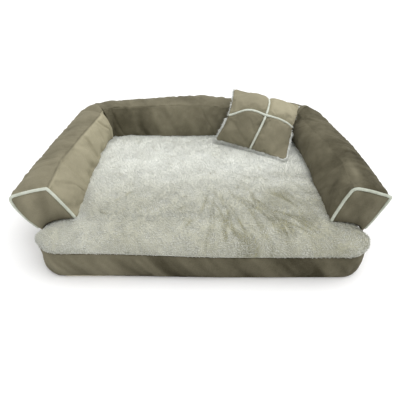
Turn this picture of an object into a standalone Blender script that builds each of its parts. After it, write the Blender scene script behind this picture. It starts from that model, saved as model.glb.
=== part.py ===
"""Sofa-style pet cushion bed: boxed seat cushion, three bolsters and a loose toss pillow.

Metres, +Z up. +X runs across the bed, -Y towards its open front. The origin is on the
floor, under the middle of the whole bed. Fabric panels are thin shells with their sewing
edges trimmed back, fillings are closed solids inside them, and no two pieces touch.
"""

import math

import bmesh
import bpy
from mathutils import Vector

# ---------------------------------------------------------------- driving dimensions

# Materials' thicknesses and the clearances between pieces
SUEDE = 0.0016
PLUSH = 0.0024
CANVAS = 0.0020
CLEARANCE = 0.0004
SHELL_GAP = 0.0010

# Seat cushion, a boxed cushion with rounded corners
SEAT_HALF_WIDTH = 0.405
SEAT_FRONT = -0.303
SEAT_BACK = 0.285
FRONT_CORNER_RADIUS = 0.060
BACK_CORNER_RADIUS = 0.170
BACK_CORNER_X = SEAT_HALF_WIDTH - BACK_CORNER_RADIUS
BACK_CORNER_Y = SEAT_BACK - BACK_CORNER_RADIUS
SEAM_HEIGHT = 0.073
SEAT_HEIGHT = 0.115
GUSSET_BULGE = 0.003
SEAM_DROP = 0.0014
FOAM_HEIGHT = 0.0565
BATTING_INSET = 0.0056

# Bolsters: each is a box section that leans away from the seat. Reach is measured
# outwards from a U-shaped line, which runs up both arms and across the back.
CORNER_X = 0.277
CORNER_Y = 0.160
ARM_FRONT = -0.215
FOOT_OVERHANG = 0.003
# Inner foot's reach, ridge's reach and height, shoulder's reach and height, and outer
# foot's height at even steps: four up an arm, the mitre, then two along half the back
SECTIONS = (
    (0.036, 0.087, 0.214, 0.173, 0.187, 0.083),
    (0.036, 0.085, 0.215, 0.158, 0.190, 0.083),
    (0.034, 0.060, 0.215, 0.140, 0.194, 0.083),
    (0.022, 0.034, 0.214, 0.120, 0.197, 0.082),
    (0.024, 0.044, 0.213, 0.116, 0.197, 0.082),
    (0.027, 0.043, 0.215, 0.129, 0.199, 0.083),
    (0.027, 0.043, 0.220, 0.1452, 0.206, 0.083),
)
ARM_SPAN = 3
BACK_AT = 5
MIDDLE_AT = 6
PUFF = {"inner": 0.007, "top": 0.009, "outer": 0.010}
UNDER_GAP = 0.0024
MITRE = math.radians(45)
MITRE_GAP = math.radians(0.7)
TURN_STEPS = 4
PIPING_RADIUS = 0.0035
SEAM_TRIM = 0.0036
FILL_INSET = SUEDE + SHELL_GAP
FILL_END_INSET = 0.0056
END_PANEL_INSET = 0.0062
END_PANEL_TRIM = 0.0130

# Zip in the back of the gusset
ZIP_HEIGHT = 0.037
ZIP_OPENING = 0.0094
ZIP_STRIP_HALF_LENGTH = BACK_CORNER_X - 0.002
ZIP_HALF_LENGTH = 0.205
TAPE_WIDTH = 0.0142
TAPE_THICKNESS = 0.0006
COIL_WIDTH = 0.0030
COIL_THICKNESS = 0.0018
COIL_SPLIT = 0.0012
SLIDER_LENGTH = 0.0120
SLIDER_WIDTH = 0.0084
SLIDER_PLATE = 0.0012
SLIDER_NECK = 0.0006
SLIDER_START = 0.195
CROWN_LENGTH = 0.0070
CROWN_WIDTH = 0.0024
CROWN_RISE = 0.0032
CROWN_WALL = 0.0010
TAB_LENGTH = 0.0260
TAB_WIDTH = 0.0080
TAB_THICKNESS = 0.0012
TAB_EYE = (0.0042, 0.0036)
LABEL_SIZE = (0.040, 0.0004, 0.025)
LABEL_X = -0.110

# Toss pillow: middle surface through nine points, from its bottom edge to its top edge
PILLOW_POINTS = (
    ((0.041, 0.143, 0.132), (0.150, 0.093, 0.129), (0.249, 0.032, 0.127)),
    ((0.083, 0.158, 0.209), (0.190, 0.134, 0.217), (0.277, 0.132, 0.180)),
    ((0.101, 0.232, 0.265), (0.2105, 0.208, 0.243), (0.304, 0.190, 0.240)),
)
PILLOW_HALF_THICKNESS = 0.026
PILLOW_RIM = 0.003
PILLOW_SLACK = 0.0014
PILLOW_PIPING_RADIUS = 0.0026
PILLOW_FACE_LIMIT = 0.96
PILLOW_SEAM_GAP = 0.036

# Insets and rises of the seat panel's edge, from its seam to its flat top
FRONT_ROLL = ((0.0, 0.0), (-0.006, 0.26), (-0.005, 0.52), (0.006, 0.80), (0.030, 0.96), (0.060, 1.0))
SIDE_INSETS = (0.0, 0.004, 0.014, 0.032, 0.060, 0.110)
SIDE_ROLL_WIDTH = 0.110
SIDE_ROLL_POWER = 2.2
PRESSED_FROM = -0.290
PRESSED_BY = -0.226


# ---------------------------------------------------------------- scene and materials


def clear_scene():
    """Remove every object, so that the file holds only the bed."""
    for obj in list(bpy.data.objects):
        bpy.data.objects.remove(obj)


def new_collection(name):
    collection = bpy.data.collections.new(name)
    bpy.context.scene.collection.children.link(collection)
    return collection


def new_material(name, colour, roughness, metallic=0.0):
    material = bpy.data.materials.new(name)
    material.use_nodes = True
    shader = material.node_tree.nodes["Principled BSDF"]
    shader.inputs["Base Color"].default_value = (*colour, 1.0)
    shader.inputs["Roughness"].default_value = roughness
    shader.inputs["Metallic"].default_value = metallic
    return material


def new_empty(name, location, collection):
    empty = bpy.data.objects.new(name, None)
    empty.location = location
    collection.objects.link(empty)
    return empty


class Kit:
    """The collections, the materials and the empties that pieces hang from."""

    def __init__(self):
        self.parts = new_collection("pet_cushion_bed")
        self.cutters = new_collection("cutters")
        self.suede = new_material("taupe_suede", (0.16, 0.14, 0.10), 0.85)
        self.plush = new_material("cream_plush", (0.60, 0.58, 0.50), 0.95)
        self.cord = new_material("cream_piping", (0.68, 0.70, 0.60), 0.80)
        self.canvas = new_material("grip_canvas", (0.10, 0.09, 0.08), 0.90)
        self.foam = new_material("cushion_foam", (0.75, 0.68, 0.45), 0.95)
        self.fibre = new_material("fibre_filling", (0.80, 0.80, 0.80), 1.00)
        self.tape = new_material("zip_tape", (0.13, 0.11, 0.08), 0.80)
        self.coil = new_material("zip_coil", (0.12, 0.10, 0.07), 0.45)
        self.metal = new_material("zip_metal", (0.45, 0.43, 0.40), 0.30, 1.0)
        self.satin = new_material("label_satin", (0.80, 0.80, 0.78), 0.50)
        self.bed = new_empty("bed", (0, 0, 0), self.parts)

    def add(self, name, data, material, parent=None):
        """Link a mesh or curve as one named piece under its parent."""
        obj = bpy.data.objects.new(name, data)
        data.materials.clear()
        data.materials.append(material)
        self.parts.objects.link(obj)
        obj.parent = parent or self.bed
        return obj

    def box(self, name, size, centre, material, parent=None):
        """A cuboid whose object origin is its own centre."""
        mesh = bpy.data.meshes.new(name)
        shape = bmesh.new()
        bmesh.ops.create_cube(shape, size=1.0)
        bmesh.ops.scale(shape, vec=size, verts=shape.verts)
        shape.to_mesh(mesh)
        shape.free()
        obj = self.add(name, mesh, material, parent)
        obj.location = centre
        return obj

    def cutter(self, name, size, centre, parent):
        """A hidden cuboid for a Boolean."""
        obj = self.box(name, size, centre, self.metal, parent)
        self.parts.objects.unlink(obj)
        self.cutters.objects.link(obj)
        obj.hide_render = True
        obj.display_type = "WIRE"
        return obj


# ---------------------------------------------------------------- geometry helpers


def smoothstep(value):
    share = min(1.0, max(0.0, value))
    return share * share * (3.0 - 2.0 * share)


def mix(a, b, share):
    return a + (b - a) * share


def steps(first, last, count):
    """count + 1 evenly spaced values from first to last."""
    return [mix(first, last, i / count) for i in range(count + 1)]


def loft(name, rows, wrap_rows=False, wrap_columns=False, cap_rows=False, cap_top=False, cap_bottom=False):
    """Quads between neighbouring rows of points. Travel along the rows, crossed with
    travel along a row's points, gives the outward side."""
    shape = bmesh.new()
    grid = [[shape.verts.new(point) for point in row] for row in rows]
    row_count, column_count = len(grid), len(grid[0])
    for i in range(row_count if wrap_rows else row_count - 1):
        for j in range(column_count if wrap_columns else column_count - 1):
            here, ahead = grid[i], grid[(i + 1) % row_count]
            after = (j + 1) % column_count
            shape.faces.new((here[j], ahead[j], ahead[after], here[after]))
    if cap_rows:
        shape.faces.new(grid[0])
        shape.faces.new(list(reversed(grid[-1])))
    if cap_top:
        shape.faces.new([row[-1] for row in grid])
    if cap_bottom:
        shape.faces.new([row[0] for row in reversed(grid)])
    if (cap_rows and wrap_columns) or (cap_top and cap_bottom):
        bmesh.ops.recalc_face_normals(shape, faces=shape.faces)
    mesh = bpy.data.meshes.new(name)
    shape.to_mesh(mesh)
    shape.free()
    return mesh


def thicken(obj, thickness):
    """Give an open surface its fabric's thickness, inwards."""
    modifier = obj.modifiers.new("fabric", "SOLIDIFY")
    modifier.thickness = thickness
    modifier.offset = -1.0
    modifier.use_even_offset = True


def tube(name, points, radius, cyclic=False):
    """A round cord along points, as a curve with filled caps."""
    curve = bpy.data.curves.new(name, "CURVE")
    curve.dimensions = "3D"
    spline = curve.splines.new("POLY")
    spline.points.add(len(points) - 1)
    for place, point in zip(spline.points, points):
        place.co = (*point, 1.0)
    spline.use_cyclic_u = cyclic
    curve.bevel_depth = radius
    curve.bevel_resolution = 2
    curve.use_fill_caps = True
    return curve


def sheet_outline(name, outline, thickness):
    """A flat outline with thickness, as a filled 2D curve."""
    curve = bpy.data.curves.new(name, "CURVE")
    curve.dimensions = "2D"
    curve.fill_mode = "BOTH"
    curve.extrude = thickness / 2
    spline = curve.splines.new("POLY")
    spline.points.add(len(outline) - 1)
    for place, (x, y) in zip(spline.points, outline):
        place.co = (x, y, 0.0, 1.0)
    spline.use_cyclic_u = True
    return curve


def arc(centre, radius, start, end, count):
    return [(centre[0] + radius * math.cos(a), centre[1] + radius * math.sin(a)) for a in steps(start, end, count)]


# ---------------------------------------------------------------- seat cushion


def band_outline():
    """The gusset's line seen from above, from one end of the zip round the front to the
    other end."""
    left, quarter = -SEAT_HALF_WIDTH, math.pi / 2
    front_x = SEAT_HALF_WIDTH - FRONT_CORNER_RADIUS
    front_y = SEAT_FRONT + FRONT_CORNER_RADIUS
    half = arc((-BACK_CORNER_X, BACK_CORNER_Y), BACK_CORNER_RADIUS, quarter, 2 * quarter, 8)
    half += [(left, y) for y in steps(BACK_CORNER_Y, front_y, 12)[1:-1]]
    half += arc((-front_x, front_y), FRONT_CORNER_RADIUS, 2 * quarter, 3 * quarter, 5)
    half += [(x, SEAT_FRONT) for x in steps(-front_x, 0.0, 4)[1:]]
    mirrored = [(-x, y) for x, y in reversed(half[:-1])]
    return half + mirrored


def closed_outline():
    return band_outline() + [(x, SEAT_BACK) for x in steps(BACK_CORNER_X, -BACK_CORNER_X, 6)[1:-1]]


def shrink(point, inset):
    """Move an outline point towards the middle of the seat by about inset."""
    middle = (SEAT_FRONT + SEAT_BACK) / 2
    half_depth = (SEAT_BACK - SEAT_FRONT) / 2
    x, y = point
    return x * (1 - inset / SEAT_HALF_WIDTH), middle + (y - middle) * (1 - inset / half_depth)


def side_height(inset):
    """Height of the seat's top at that distance in from its side or back seam."""
    along = min(1.0, max(0.0, inset / SIDE_ROLL_WIDTH))
    share = (1 - (1 - along) ** SIDE_ROLL_POWER) ** (1 / SIDE_ROLL_POWER)
    return mix(SEAM_HEIGHT, SEAT_HEIGHT, share)


def seat_profile(point, inset=0.0, drop=0.0):
    """The seat panel's edge at one outline point, from its seam up to its flat top: puffy
    across the open front, pressed to a slope under the bolsters."""
    profile = []
    for (front_inset, front_rise), side_inset in zip(FRONT_ROLL, SIDE_INSETS):
        y = shrink(point, side_inset)[1]
        pressed = smoothstep((y - PRESSED_FROM) / (PRESSED_BY - PRESSED_FROM))
        reach = mix(front_inset, side_inset, pressed) + inset
        front_height = mix(SEAM_HEIGHT, SEAT_HEIGHT, front_rise)
        height = mix(front_height, side_height(side_inset), pressed)
        profile.append((*shrink(point, reach), height - drop))
    return profile


def build_seat(kit):
    outline = closed_outline()

    inner = [shrink(p, SUEDE + GUSSET_BULGE) for p in outline]
    bottom = kit.add("nonskid_bottom_panel", sheet_outline("nonskid_bottom_panel", inner, CANVAS), kit.canvas)
    bottom.location.z = CANVAS / 2

    foam_outline = [shrink(p, 0.0070) for p in outline]
    foam_base = CANVAS + CLEARANCE
    foam_thickness = FOAM_HEIGHT - foam_base
    foam = kit.add("foam_core", sheet_outline("foam_core", foam_outline, foam_thickness), kit.foam)
    foam.location.z = foam_base + foam_thickness / 2

    top_rows = [seat_profile(p) for p in outline]
    top = kit.add("seat_plush_panel", loft("seat_plush_panel", top_rows, wrap_rows=True, cap_top=True), kit.plush)
    thicken(top, PLUSH)

    drop = PLUSH + SHELL_GAP
    batting_rows = []
    for point in outline:
        foot = shrink(point, 2 * drop)
        upright = [(*foot, FOAM_HEIGHT + CLEARANCE), (*foot, SEAM_HEIGHT + 0.003)]
        batting_rows.append(upright + seat_profile(point, inset=BATTING_INSET, drop=drop)[1:])
    batting_mesh = loft("seat_batting", batting_rows, wrap_rows=True, cap_top=True, cap_bottom=True)
    kit.add("seat_batting", batting_mesh, kit.fibre)

    heights = ((0.0006, 0.002), (SEAM_HEIGHT * 0.45, -GUSSET_BULGE), (SEAM_HEIGHT - SEAM_DROP, 0.0))
    band_rows = [[(*shrink(p, inset), z) for z, inset in heights] for p in band_outline()]
    band = kit.add("gusset_front_band", loft("gusset_front_band", band_rows), kit.suede)
    thicken(band, SUEDE)


def build_zip(kit):
    """The back of the gusset: two strips with a coil zip between them."""
    face = SEAT_BACK
    strip_y = face - SUEDE / 2
    half_opening = ZIP_OPENING / 2
    low = (0.0006, ZIP_HEIGHT - half_opening)
    high = (ZIP_HEIGHT + half_opening, SEAM_HEIGHT - SEAM_DROP)
    for name, (start, end) in (("gusset_back_lower_strip", low), ("gusset_back_upper_strip", high)):
        size = (2 * ZIP_STRIP_HALF_LENGTH, SUEDE, end - start)
        kit.box(name, size, (0, strip_y, (start + end) / 2), kit.suede)

    tape_y = face - SUEDE - CLEARANCE - TAPE_THICKNESS / 2
    coil_y = tape_y + TAPE_THICKNESS / 2 + CLEARANCE + COIL_THICKNESS / 2
    for side, sign in (("lower", -1), ("upper", 1)):
        tape_z = ZIP_HEIGHT + sign * (COIL_SPLIT + TAPE_WIDTH) / 2
        tape_size = (2 * ZIP_HALF_LENGTH + 0.03, TAPE_THICKNESS, TAPE_WIDTH)
        kit.box(f"zip_tape_{side}", tape_size, (0, tape_y, tape_z), kit.tape)
        coil_z = ZIP_HEIGHT + sign * (COIL_SPLIT + COIL_WIDTH) / 2
        coil_size = (2 * ZIP_HALF_LENGTH, COIL_THICKNESS, COIL_WIDTH)
        kit.box(f"zip_coil_{side}", coil_size, (0, coil_y, coil_z), kit.coil)

    stop_size = (0.003, COIL_THICKNESS, ZIP_OPENING - 2 * CLEARANCE)
    for side, sign in (("left", -1), ("right", 1)):
        stop_x = sign * (ZIP_HALF_LENGTH + 0.002)
        kit.box(f"zip_stop_{side}", stop_size, (stop_x, coil_y, ZIP_HEIGHT), kit.metal)

    label_centre = (LABEL_X, face + 0.0006, SEAM_HEIGHT - 0.002 - LABEL_SIZE[2] / 2)
    kit.box("care_label", LABEL_SIZE, label_centre, kit.satin)
    build_slider(kit, tape_y, coil_y)


def build_slider(kit, tape_y, coil_y):
    """Slider with its crown, and a pull tab whose eye bar turns under the crown."""
    front_y = coil_y + COIL_THICKNESS / 2 + CLEARANCE + SLIDER_PLATE / 2
    rear_y = tape_y - TAPE_THICKNESS / 2 - CLEARANCE - SLIDER_PLATE / 2
    travel = new_empty("slider_travel", (SLIDER_START, front_y, ZIP_HEIGHT), kit.parts)
    travel.parent = kit.bed

    plate_size = (SLIDER_LENGTH, SLIDER_PLATE, SLIDER_WIDTH)
    slider = kit.box("zip_slider", plate_size, (0, 0, 0), kit.metal, travel)
    depth = front_y - rear_y
    crown_y = SLIDER_PLATE / 2 + CROWN_RISE / 2
    overlap = 0.0002
    joins = (
        ("slider_rear_plate", plate_size, (0, -depth, 0)),
        ("slider_neck", (SLIDER_LENGTH / 2, depth, SLIDER_NECK), (0, -depth / 2, 0)),
        ("slider_crown", (CROWN_LENGTH, CROWN_RISE + overlap, CROWN_WIDTH), (0, crown_y - overlap / 2, 0)),
    )
    for name, size, centre in joins:
        add_boolean(slider, kit.cutter(name, size, centre, travel), "UNION")
    window_size = (CROWN_LENGTH - 2 * CROWN_WALL, CROWN_RISE - CROWN_WALL, 2 * CROWN_WIDTH)
    window_y = SLIDER_PLATE / 2 + window_size[1] / 2
    window = kit.cutter("slider_crown_window", window_size, (0, window_y + 0.00005, 0), travel)
    add_boolean(slider, window, "DIFFERENCE")

    eye_bar = TAB_THICKNESS / 2
    hinge_y = SLIDER_PLATE / 2 + window_size[1] / 2
    hinge = new_empty("pull_tab_hinge", (0, hinge_y, 0), kit.parts)
    hinge.parent = travel
    tab_centre = (eye_bar - TAB_LENGTH / 2, 0, 0)
    tab = kit.box("zip_pull_tab", (TAB_LENGTH, TAB_THICKNESS, TAB_WIDTH), tab_centre, kit.metal, hinge)
    tab.data.transform(tab.matrix_basis)
    tab.location = (0, 0, 0)
    eye_size = (TAB_EYE[0], 2 * TAB_THICKNESS, TAB_EYE[1])
    eye = kit.cutter("tab_eye", eye_size, (-eye_bar - TAB_EYE[0] / 2, 0, 0), hinge)
    add_boolean(tab, eye, "DIFFERENCE")


def add_boolean(obj, other, operation):
    modifier = obj.modifiers.new(other.name, "BOOLEAN")
    modifier.operation = operation
    modifier.solver = "EXACT"
    modifier.object = other


# ---------------------------------------------------------------- bolsters


class Station:
    """One place along the bolsters: a point on the line they run round, the outward
    direction there and the section, blended from the two nearest in the table."""

    def __init__(self, origin, outward, position):
        self.origin = origin
        self.outward = outward
        self.position = position
        first = min(int(position), len(SECTIONS) - 2)
        share = smoothstep(position - first) if first >= ARM_SPAN else position - first
        pair = zip(SECTIONS[first], SECTIONS[first + 1])
        foot, ridge, ridge_z, shoulder, shoulder_z, outer_z = (mix(a, b, share) for a, b in pair)
        self.edge = self.seat_edge()
        self.corners = {
            "inner_foot": (foot, side_height(self.edge - foot) + UNDER_GAP),
            "ridge": (ridge, ridge_z),
            "shoulder": (shoulder, shoulder_z),
            "outer_foot": (self.edge + FOOT_OVERHANG, outer_z),
        }

    def seat_edge(self):
        """Reach of the seat's seam in this direction."""
        past = (abs(self.origin[0]) - BACK_CORNER_X, self.origin[1] - BACK_CORNER_Y)
        across, along = abs(self.outward[0]), self.outward[1]
        if past[1] <= 0:
            return SEAT_HALF_WIDTH - abs(self.origin[0])
        if past[0] <= 0:
            return SEAT_BACK - self.origin[1]
        dot = past[0] * across + past[1] * along
        return math.sqrt(dot**2 - past[0] ** 2 - past[1] ** 2 + BACK_CORNER_RADIUS**2) - dot

    def place(self, reach, height):
        return (self.origin[0] + self.outward[0] * reach, self.origin[1] + self.outward[1] * reach, height)

    def bulged(self, start, end, bulge, trim, count):
        """(reach, height) points from corner to corner, bowed outwards and trimmed short
        of both corners."""
        (r0, z0), (r1, z1) = self.corners[start], self.corners[end]
        length = math.hypot(r1 - r0, z1 - z0)
        normal = (-(z1 - z0) / length, (r1 - r0) / length)
        points = []
        for share in steps(trim / length, 1 - trim / length, count):
            bow = 4 * bulge * share * (1 - share)
            points.append((mix(r0, r1, share) + normal[0] * bow, mix(z0, z1, share) + normal[1] * bow))
        return points

    def under(self, trim):
        """(reach, height) points of the underside, from the outer foot to the inner one,
        lying on the seat's pressed edge."""
        outer, inner = self.corners["outer_foot"], self.corners["inner_foot"]
        start = (outer[0] - trim, outer[1] + trim)
        end_reach = inner[0] + trim
        reaches = [self.edge - inset for inset in SIDE_INSETS[2:-1]]
        middle = [reach for reach in reaches if reach > end_reach + trim] + [end_reach]
        return [start] + [(reach, side_height(self.edge - reach) + UNDER_GAP) for reach in middle]

    def panel(self, side, trim=SEAM_TRIM):
        if side == "inner":
            return self.bulged("inner_foot", "ridge", PUFF[side], trim, 4)
        if side == "top":
            return self.bulged("ridge", "shoulder", PUFF[side], trim, 4)
        if side == "outer":
            return self.bulged("shoulder", "outer_foot", PUFF[side], trim, 4)
        return self.under(trim)

    def outline(self, trim=SEAM_TRIM):
        """The whole closed section, clockwise when seen with outwards to the right."""
        return [p for side in ("inner", "top", "outer", "under") for p in self.panel(side, trim)]


def inset_outline(outline, distance):
    """A closed (reach, height) outline with every edge moved inwards by distance."""
    count = len(outline)
    normals = []
    for i, (r, z) in enumerate(outline):
        r_next, z_next = outline[(i + 1) % count]
        length = math.hypot(r_next - r, z_next - z)
        normals.append(((z_next - z) / length, -(r_next - r) / length))
    moved = []
    for i, (r, z) in enumerate(outline):
        before, after = normals[i - 1], normals[i]
        scale = distance / (1 + before[0] * after[0] + before[1] * after[1])
        moved.append((r + (before[0] + after[0]) * scale, z + (before[1] + after[1]) * scale))
    return moved


def arm_stations(first_y):
    """Stations along the left arm, from its front end to the mitre at the corner."""
    span = (CORNER_Y - ARM_FRONT) / ARM_SPAN
    straight = [Station((-CORNER_X, y), (-1, 0), (y - ARM_FRONT) / span) for y in steps(first_y, CORNER_Y, 9)]
    turn = []
    for angle in steps(0, MITRE - MITRE_GAP, TURN_STEPS)[1:]:
        outward = (-math.cos(angle), math.sin(angle))
        turn.append(Station((-CORNER_X, CORNER_Y), outward, ARM_SPAN + angle / MITRE))
    return straight + turn


def back_stations():
    """Stations along the back, from mitre to mitre."""
    half = []
    for angle in steps(MITRE + MITRE_GAP, math.pi / 2, TURN_STEPS):
        outward = (-math.cos(angle), math.sin(angle))
        half.append(Station((-CORNER_X, CORNER_Y), outward, ARM_SPAN + angle / MITRE))
    for share in steps(0, 1, 4)[1:]:
        half.append(Station((-CORNER_X * (1 - share), CORNER_Y), (0, 1), mix(BACK_AT, MIDDLE_AT, share)))
    return half + mirrored(half[:-1])


def mirrored(stations):
    """The same stations on the other side of the bed, in the direction of travel that
    keeps the outward side outward."""
    return [
        Station((-s.origin[0], s.origin[1]), (-s.outward[0], s.outward[1]), s.position)
        for s in reversed(stations)
    ]


def panel_rows(stations, side):
    return [[s.place(*point) for point in s.panel(side)] for s in stations]


def filling_mesh(name, stations, insets):
    rows = [[s.place(*p) for p in inset_outline(s.outline(), inset)] for s, inset in zip(stations, insets)]
    return loft(name, rows, wrap_columns=True, cap_rows=True)


def build_bolster(kit, name, panels, filling, insets):
    for side in ("inner", "top", "outer", "under"):
        piece = f"{name}_{side}_panel"
        obj = kit.add(piece, loft(piece, panel_rows(panels, side)), kit.suede)
        thicken(obj, SUEDE)
    piece = f"{name}_filling"
    kit.add(piece, filling_mesh(piece, filling, insets), kit.fibre)


def build_arm_end(kit, name, mirror):
    """The flat panel that closes an arm, and the piping round its inner, top and outer
    edges."""
    end = Station((-CORNER_X, ARM_FRONT), (-1, 0), 0)
    outline = [(mirror * (end.origin[0] - r), z) for r, z in inset_outline(end.outline(END_PANEL_TRIM), END_PANEL_INSET)]
    panel = kit.add(f"{name}_end_panel", sheet_outline(f"{name}_end_panel", outline, SUEDE), kit.suede)
    panel.location.y = ARM_FRONT + 0.0018
    panel.rotation_euler.x = math.pi / 2

    route = []
    for side in ("inner", "top", "outer"):
        route += end.panel(side, trim=2 * SEAM_TRIM)
    piping_y = PIPING_RADIUS + 0.0002
    points = [(mirror * (end.origin[0] - r), ARM_FRONT + piping_y, z) for r, z in route]
    kit.add(f"{name}_piping", tube(f"{name}_piping", points, PIPING_RADIUS), kit.cord)


def build_bolsters(kit):
    panel_start = ARM_FRONT + 2 * PIPING_RADIUS + 2 * CLEARANCE
    left = arm_stations(panel_start)
    filling_start = ARM_FRONT + 0.0036
    left_filling = [Station((-CORNER_X, filling_start), (-1, 0), 0), *arm_stations(panel_start + 0.004)]
    insets = [FILL_END_INSET] + [FILL_INSET] * (len(left_filling) - 1)
    build_bolster(kit, "left_arm", left, left_filling, insets)
    build_bolster(kit, "right_arm", mirrored(left), mirrored(left_filling), insets[::-1])
    back = back_stations()
    build_bolster(kit, "back", back, back, [FILL_INSET] * len(back))
    build_arm_end(kit, "left_arm", 1)
    build_arm_end(kit, "right_arm", -1)


# ---------------------------------------------------------------- toss pillow


def quadratic_weights(value):
    """Weights of three points at -1, 0 and 1 for a smooth curve through them."""
    return value * (value - 1) / 2, 1 - value * value, value * (value + 1) / 2


def pillow_middle(across, up):
    point = Vector((0, 0, 0))
    for row_weight, row in zip(quadratic_weights(up), PILLOW_POINTS):
        for weight, corner in zip(quadratic_weights(across), row):
            point += row_weight * weight * Vector(corner)
    return point


def pillow_normal(across, up):
    """Unit vector out of the pillow's face."""
    step = 0.01
    right = pillow_middle(across + step, up) - pillow_middle(across - step, up)
    above = pillow_middle(across, up + step) - pillow_middle(across, up - step)
    return right.cross(above).normalized()


def pillow_half_thickness(across, up):
    crown = max(0.0, (1 - across * across) * (1 - up * up))
    return PILLOW_RIM + PILLOW_HALF_THICKNESS * math.sqrt(crown)


def pillow_surface(across, up, side, rise=0.0):
    """A point on the filling's front (side 1) or back (side -1), raised by rise."""
    offset = pillow_half_thickness(across, up) + rise
    return pillow_middle(across, up) + side * offset * pillow_normal(across, up)


def pillow_grid(across_values, up_values, side, rise):
    """Rows that travel so that the outward side comes out right for a face or a back."""
    order = across_values if side > 0 else across_values[::-1]
    return [[pillow_surface(a, u, side, rise) for u in up_values] for a in order]


def build_pillow(kit):
    centre = pillow_middle(0, 0)
    lift = new_empty("pillow_lift", centre, kit.parts)
    lift.parent = kit.bed

    def add(name, data, material):
        """Hang a pillow piece, built in place, from the empty at the pillow's middle."""
        obj = kit.add(name, data, material, lift)
        obj.location = -centre
        return obj

    around = steps(-1, 1, 6)
    rows = []
    for up in steps(-1, 1, 6):
        front = [pillow_surface(a, up, 1, -PILLOW_SLACK) for a in around]
        back = [pillow_surface(a, up, -1, -PILLOW_SLACK) for a in reversed(around)]
        rows.append(front + back)
    add("pillow_filling", loft("pillow_filling", rows, wrap_columns=True, cap_rows=True), kit.fibre)

    rise = SHELL_GAP + SUEDE
    positive = [PILLOW_SEAM_GAP, *around[4:-1], PILLOW_FACE_LIMIT]
    negative = [-value for value in reversed(positive)]
    for level, ups in (("lower", negative), ("upper", positive)):
        for half, acrosses in (("left", negative), ("right", positive)):
            name = f"pillow_face_{level}_{half}"
            grid = pillow_grid(acrosses, ups, 1, rise)
            thicken(add(name, loft(name, grid), kit.suede), SUEDE)

    whole = [-PILLOW_FACE_LIMIT, *around[1:-1], PILLOW_FACE_LIMIT]
    grid = pillow_grid(whole, whole, -1, SHELL_GAP + PLUSH)
    thicken(add("pillow_plush_back", loft("pillow_plush_back", grid), kit.plush), PLUSH)

    piping_rise = PILLOW_PIPING_RADIUS + SHELL_GAP
    seam_end = 2 * PILLOW_SEAM_GAP
    routes = {
        "pillow_piping_across": [(a, 0.0) for a in steps(-0.99, 0.99, 10)],
        "pillow_piping_lower": [(0.0, u) for u in steps(-0.99, -seam_end, 5)],
        "pillow_piping_upper": [(0.0, u) for u in steps(seam_end, 0.99, 5)],
    }
    for name, route in routes.items():
        points = [pillow_surface(a, u, 1, piping_rise) for a, u in route]
        add(name, tube(name, points, PILLOW_PIPING_RADIUS), kit.cord)


def main():
    clear_scene()
    kit = Kit()
    build_seat(kit)
    build_zip(kit)
    build_bolsters(kit)
    build_pillow(kit)


main()
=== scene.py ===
"""Looks of a sofa-style pet cushion bed with bolster arms and a loose toss pillow.

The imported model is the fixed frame. Soft covers are surfaces of two parameters, puffed by
cloth simulation, then refined and given seams, folds and pile as real geometry.
"""

import itertools
import logging
import math
from dataclasses import dataclass
from enum import Enum

import bpy
import numpy as np
from mathutils import Matrix, Vector


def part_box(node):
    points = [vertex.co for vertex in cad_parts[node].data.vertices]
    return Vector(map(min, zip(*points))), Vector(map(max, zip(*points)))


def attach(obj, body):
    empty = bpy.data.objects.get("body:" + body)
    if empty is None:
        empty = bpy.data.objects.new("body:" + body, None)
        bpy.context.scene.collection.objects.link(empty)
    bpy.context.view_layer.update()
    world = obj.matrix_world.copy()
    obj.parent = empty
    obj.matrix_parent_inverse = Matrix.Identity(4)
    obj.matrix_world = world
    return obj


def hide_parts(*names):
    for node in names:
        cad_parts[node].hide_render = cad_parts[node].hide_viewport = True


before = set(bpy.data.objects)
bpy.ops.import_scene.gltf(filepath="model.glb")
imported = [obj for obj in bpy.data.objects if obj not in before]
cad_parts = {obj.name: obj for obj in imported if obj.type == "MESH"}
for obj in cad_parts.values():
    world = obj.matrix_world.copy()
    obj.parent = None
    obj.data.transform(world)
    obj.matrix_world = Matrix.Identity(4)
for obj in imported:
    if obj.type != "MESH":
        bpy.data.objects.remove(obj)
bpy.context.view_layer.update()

LOG = logging.getLogger("pet_cushion_bed")
BED, PILLOW = "bed", "toss_pillow"
CORD_RADIUS = 0.0036
SUEDE_WALL = 0.0014


class Way(Enum):
    """How a surface's grid closes on itself."""

    OPEN = "open"
    TUBE = "tube"


# ------------------------------------------------------------------ numbers and noise


def smoothstep(x: np.ndarray) -> np.ndarray:
    """The S-curve 3x^2 - 2x^3, with x held between 0 and 1."""
    x = np.clip(x, 0.0, 1.0)
    return x * x * (3.0 - 2.0 * x)


def value_noise(points: np.ndarray, cell: float, seed: int) -> np.ndarray:
    """Smooth noise from -1 to 1: random values on a cubic lattice, blended with S-curves.

    Args:
        points: (n, 3) places, in metres.
        cell: the lattice's pitch, in metres.
        seed: which lattice.

    Returns:
        One value for each point.
    """
    table = np.random.default_rng(seed).random((32, 32, 32))
    scaled = points / cell
    base = np.floor(scaled).astype(int)
    part = scaled - base
    part = part * part * (3.0 - 2.0 * part)
    total = np.zeros(len(points))
    for corner in itertools.product((0, 1), repeat=3):
        offset = np.array(corner)
        index = (base + offset) & 31
        weight = np.where(offset == 1, part, 1.0 - part).prod(axis=1)
        total += weight * table[index[:, 0], index[:, 1], index[:, 2]]
    return total * 2.0 - 1.0


def layered_noise(points: np.ndarray, cell: float, seed: int, layers: int = 3) -> np.ndarray:
    """Value noise at several pitches, each half as wide and half as strong as the last."""
    total = np.zeros(len(points))
    for layer in range(layers):
        total += value_noise(points, cell / 2**layer, seed + layer) / 2**layer
    return total


def joined(*parts: np.ndarray) -> np.ndarray:
    """Coordinates given one by one, put together along a new last axis."""
    return np.stack(np.broadcast_arrays(*parts), axis=-1)


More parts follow.
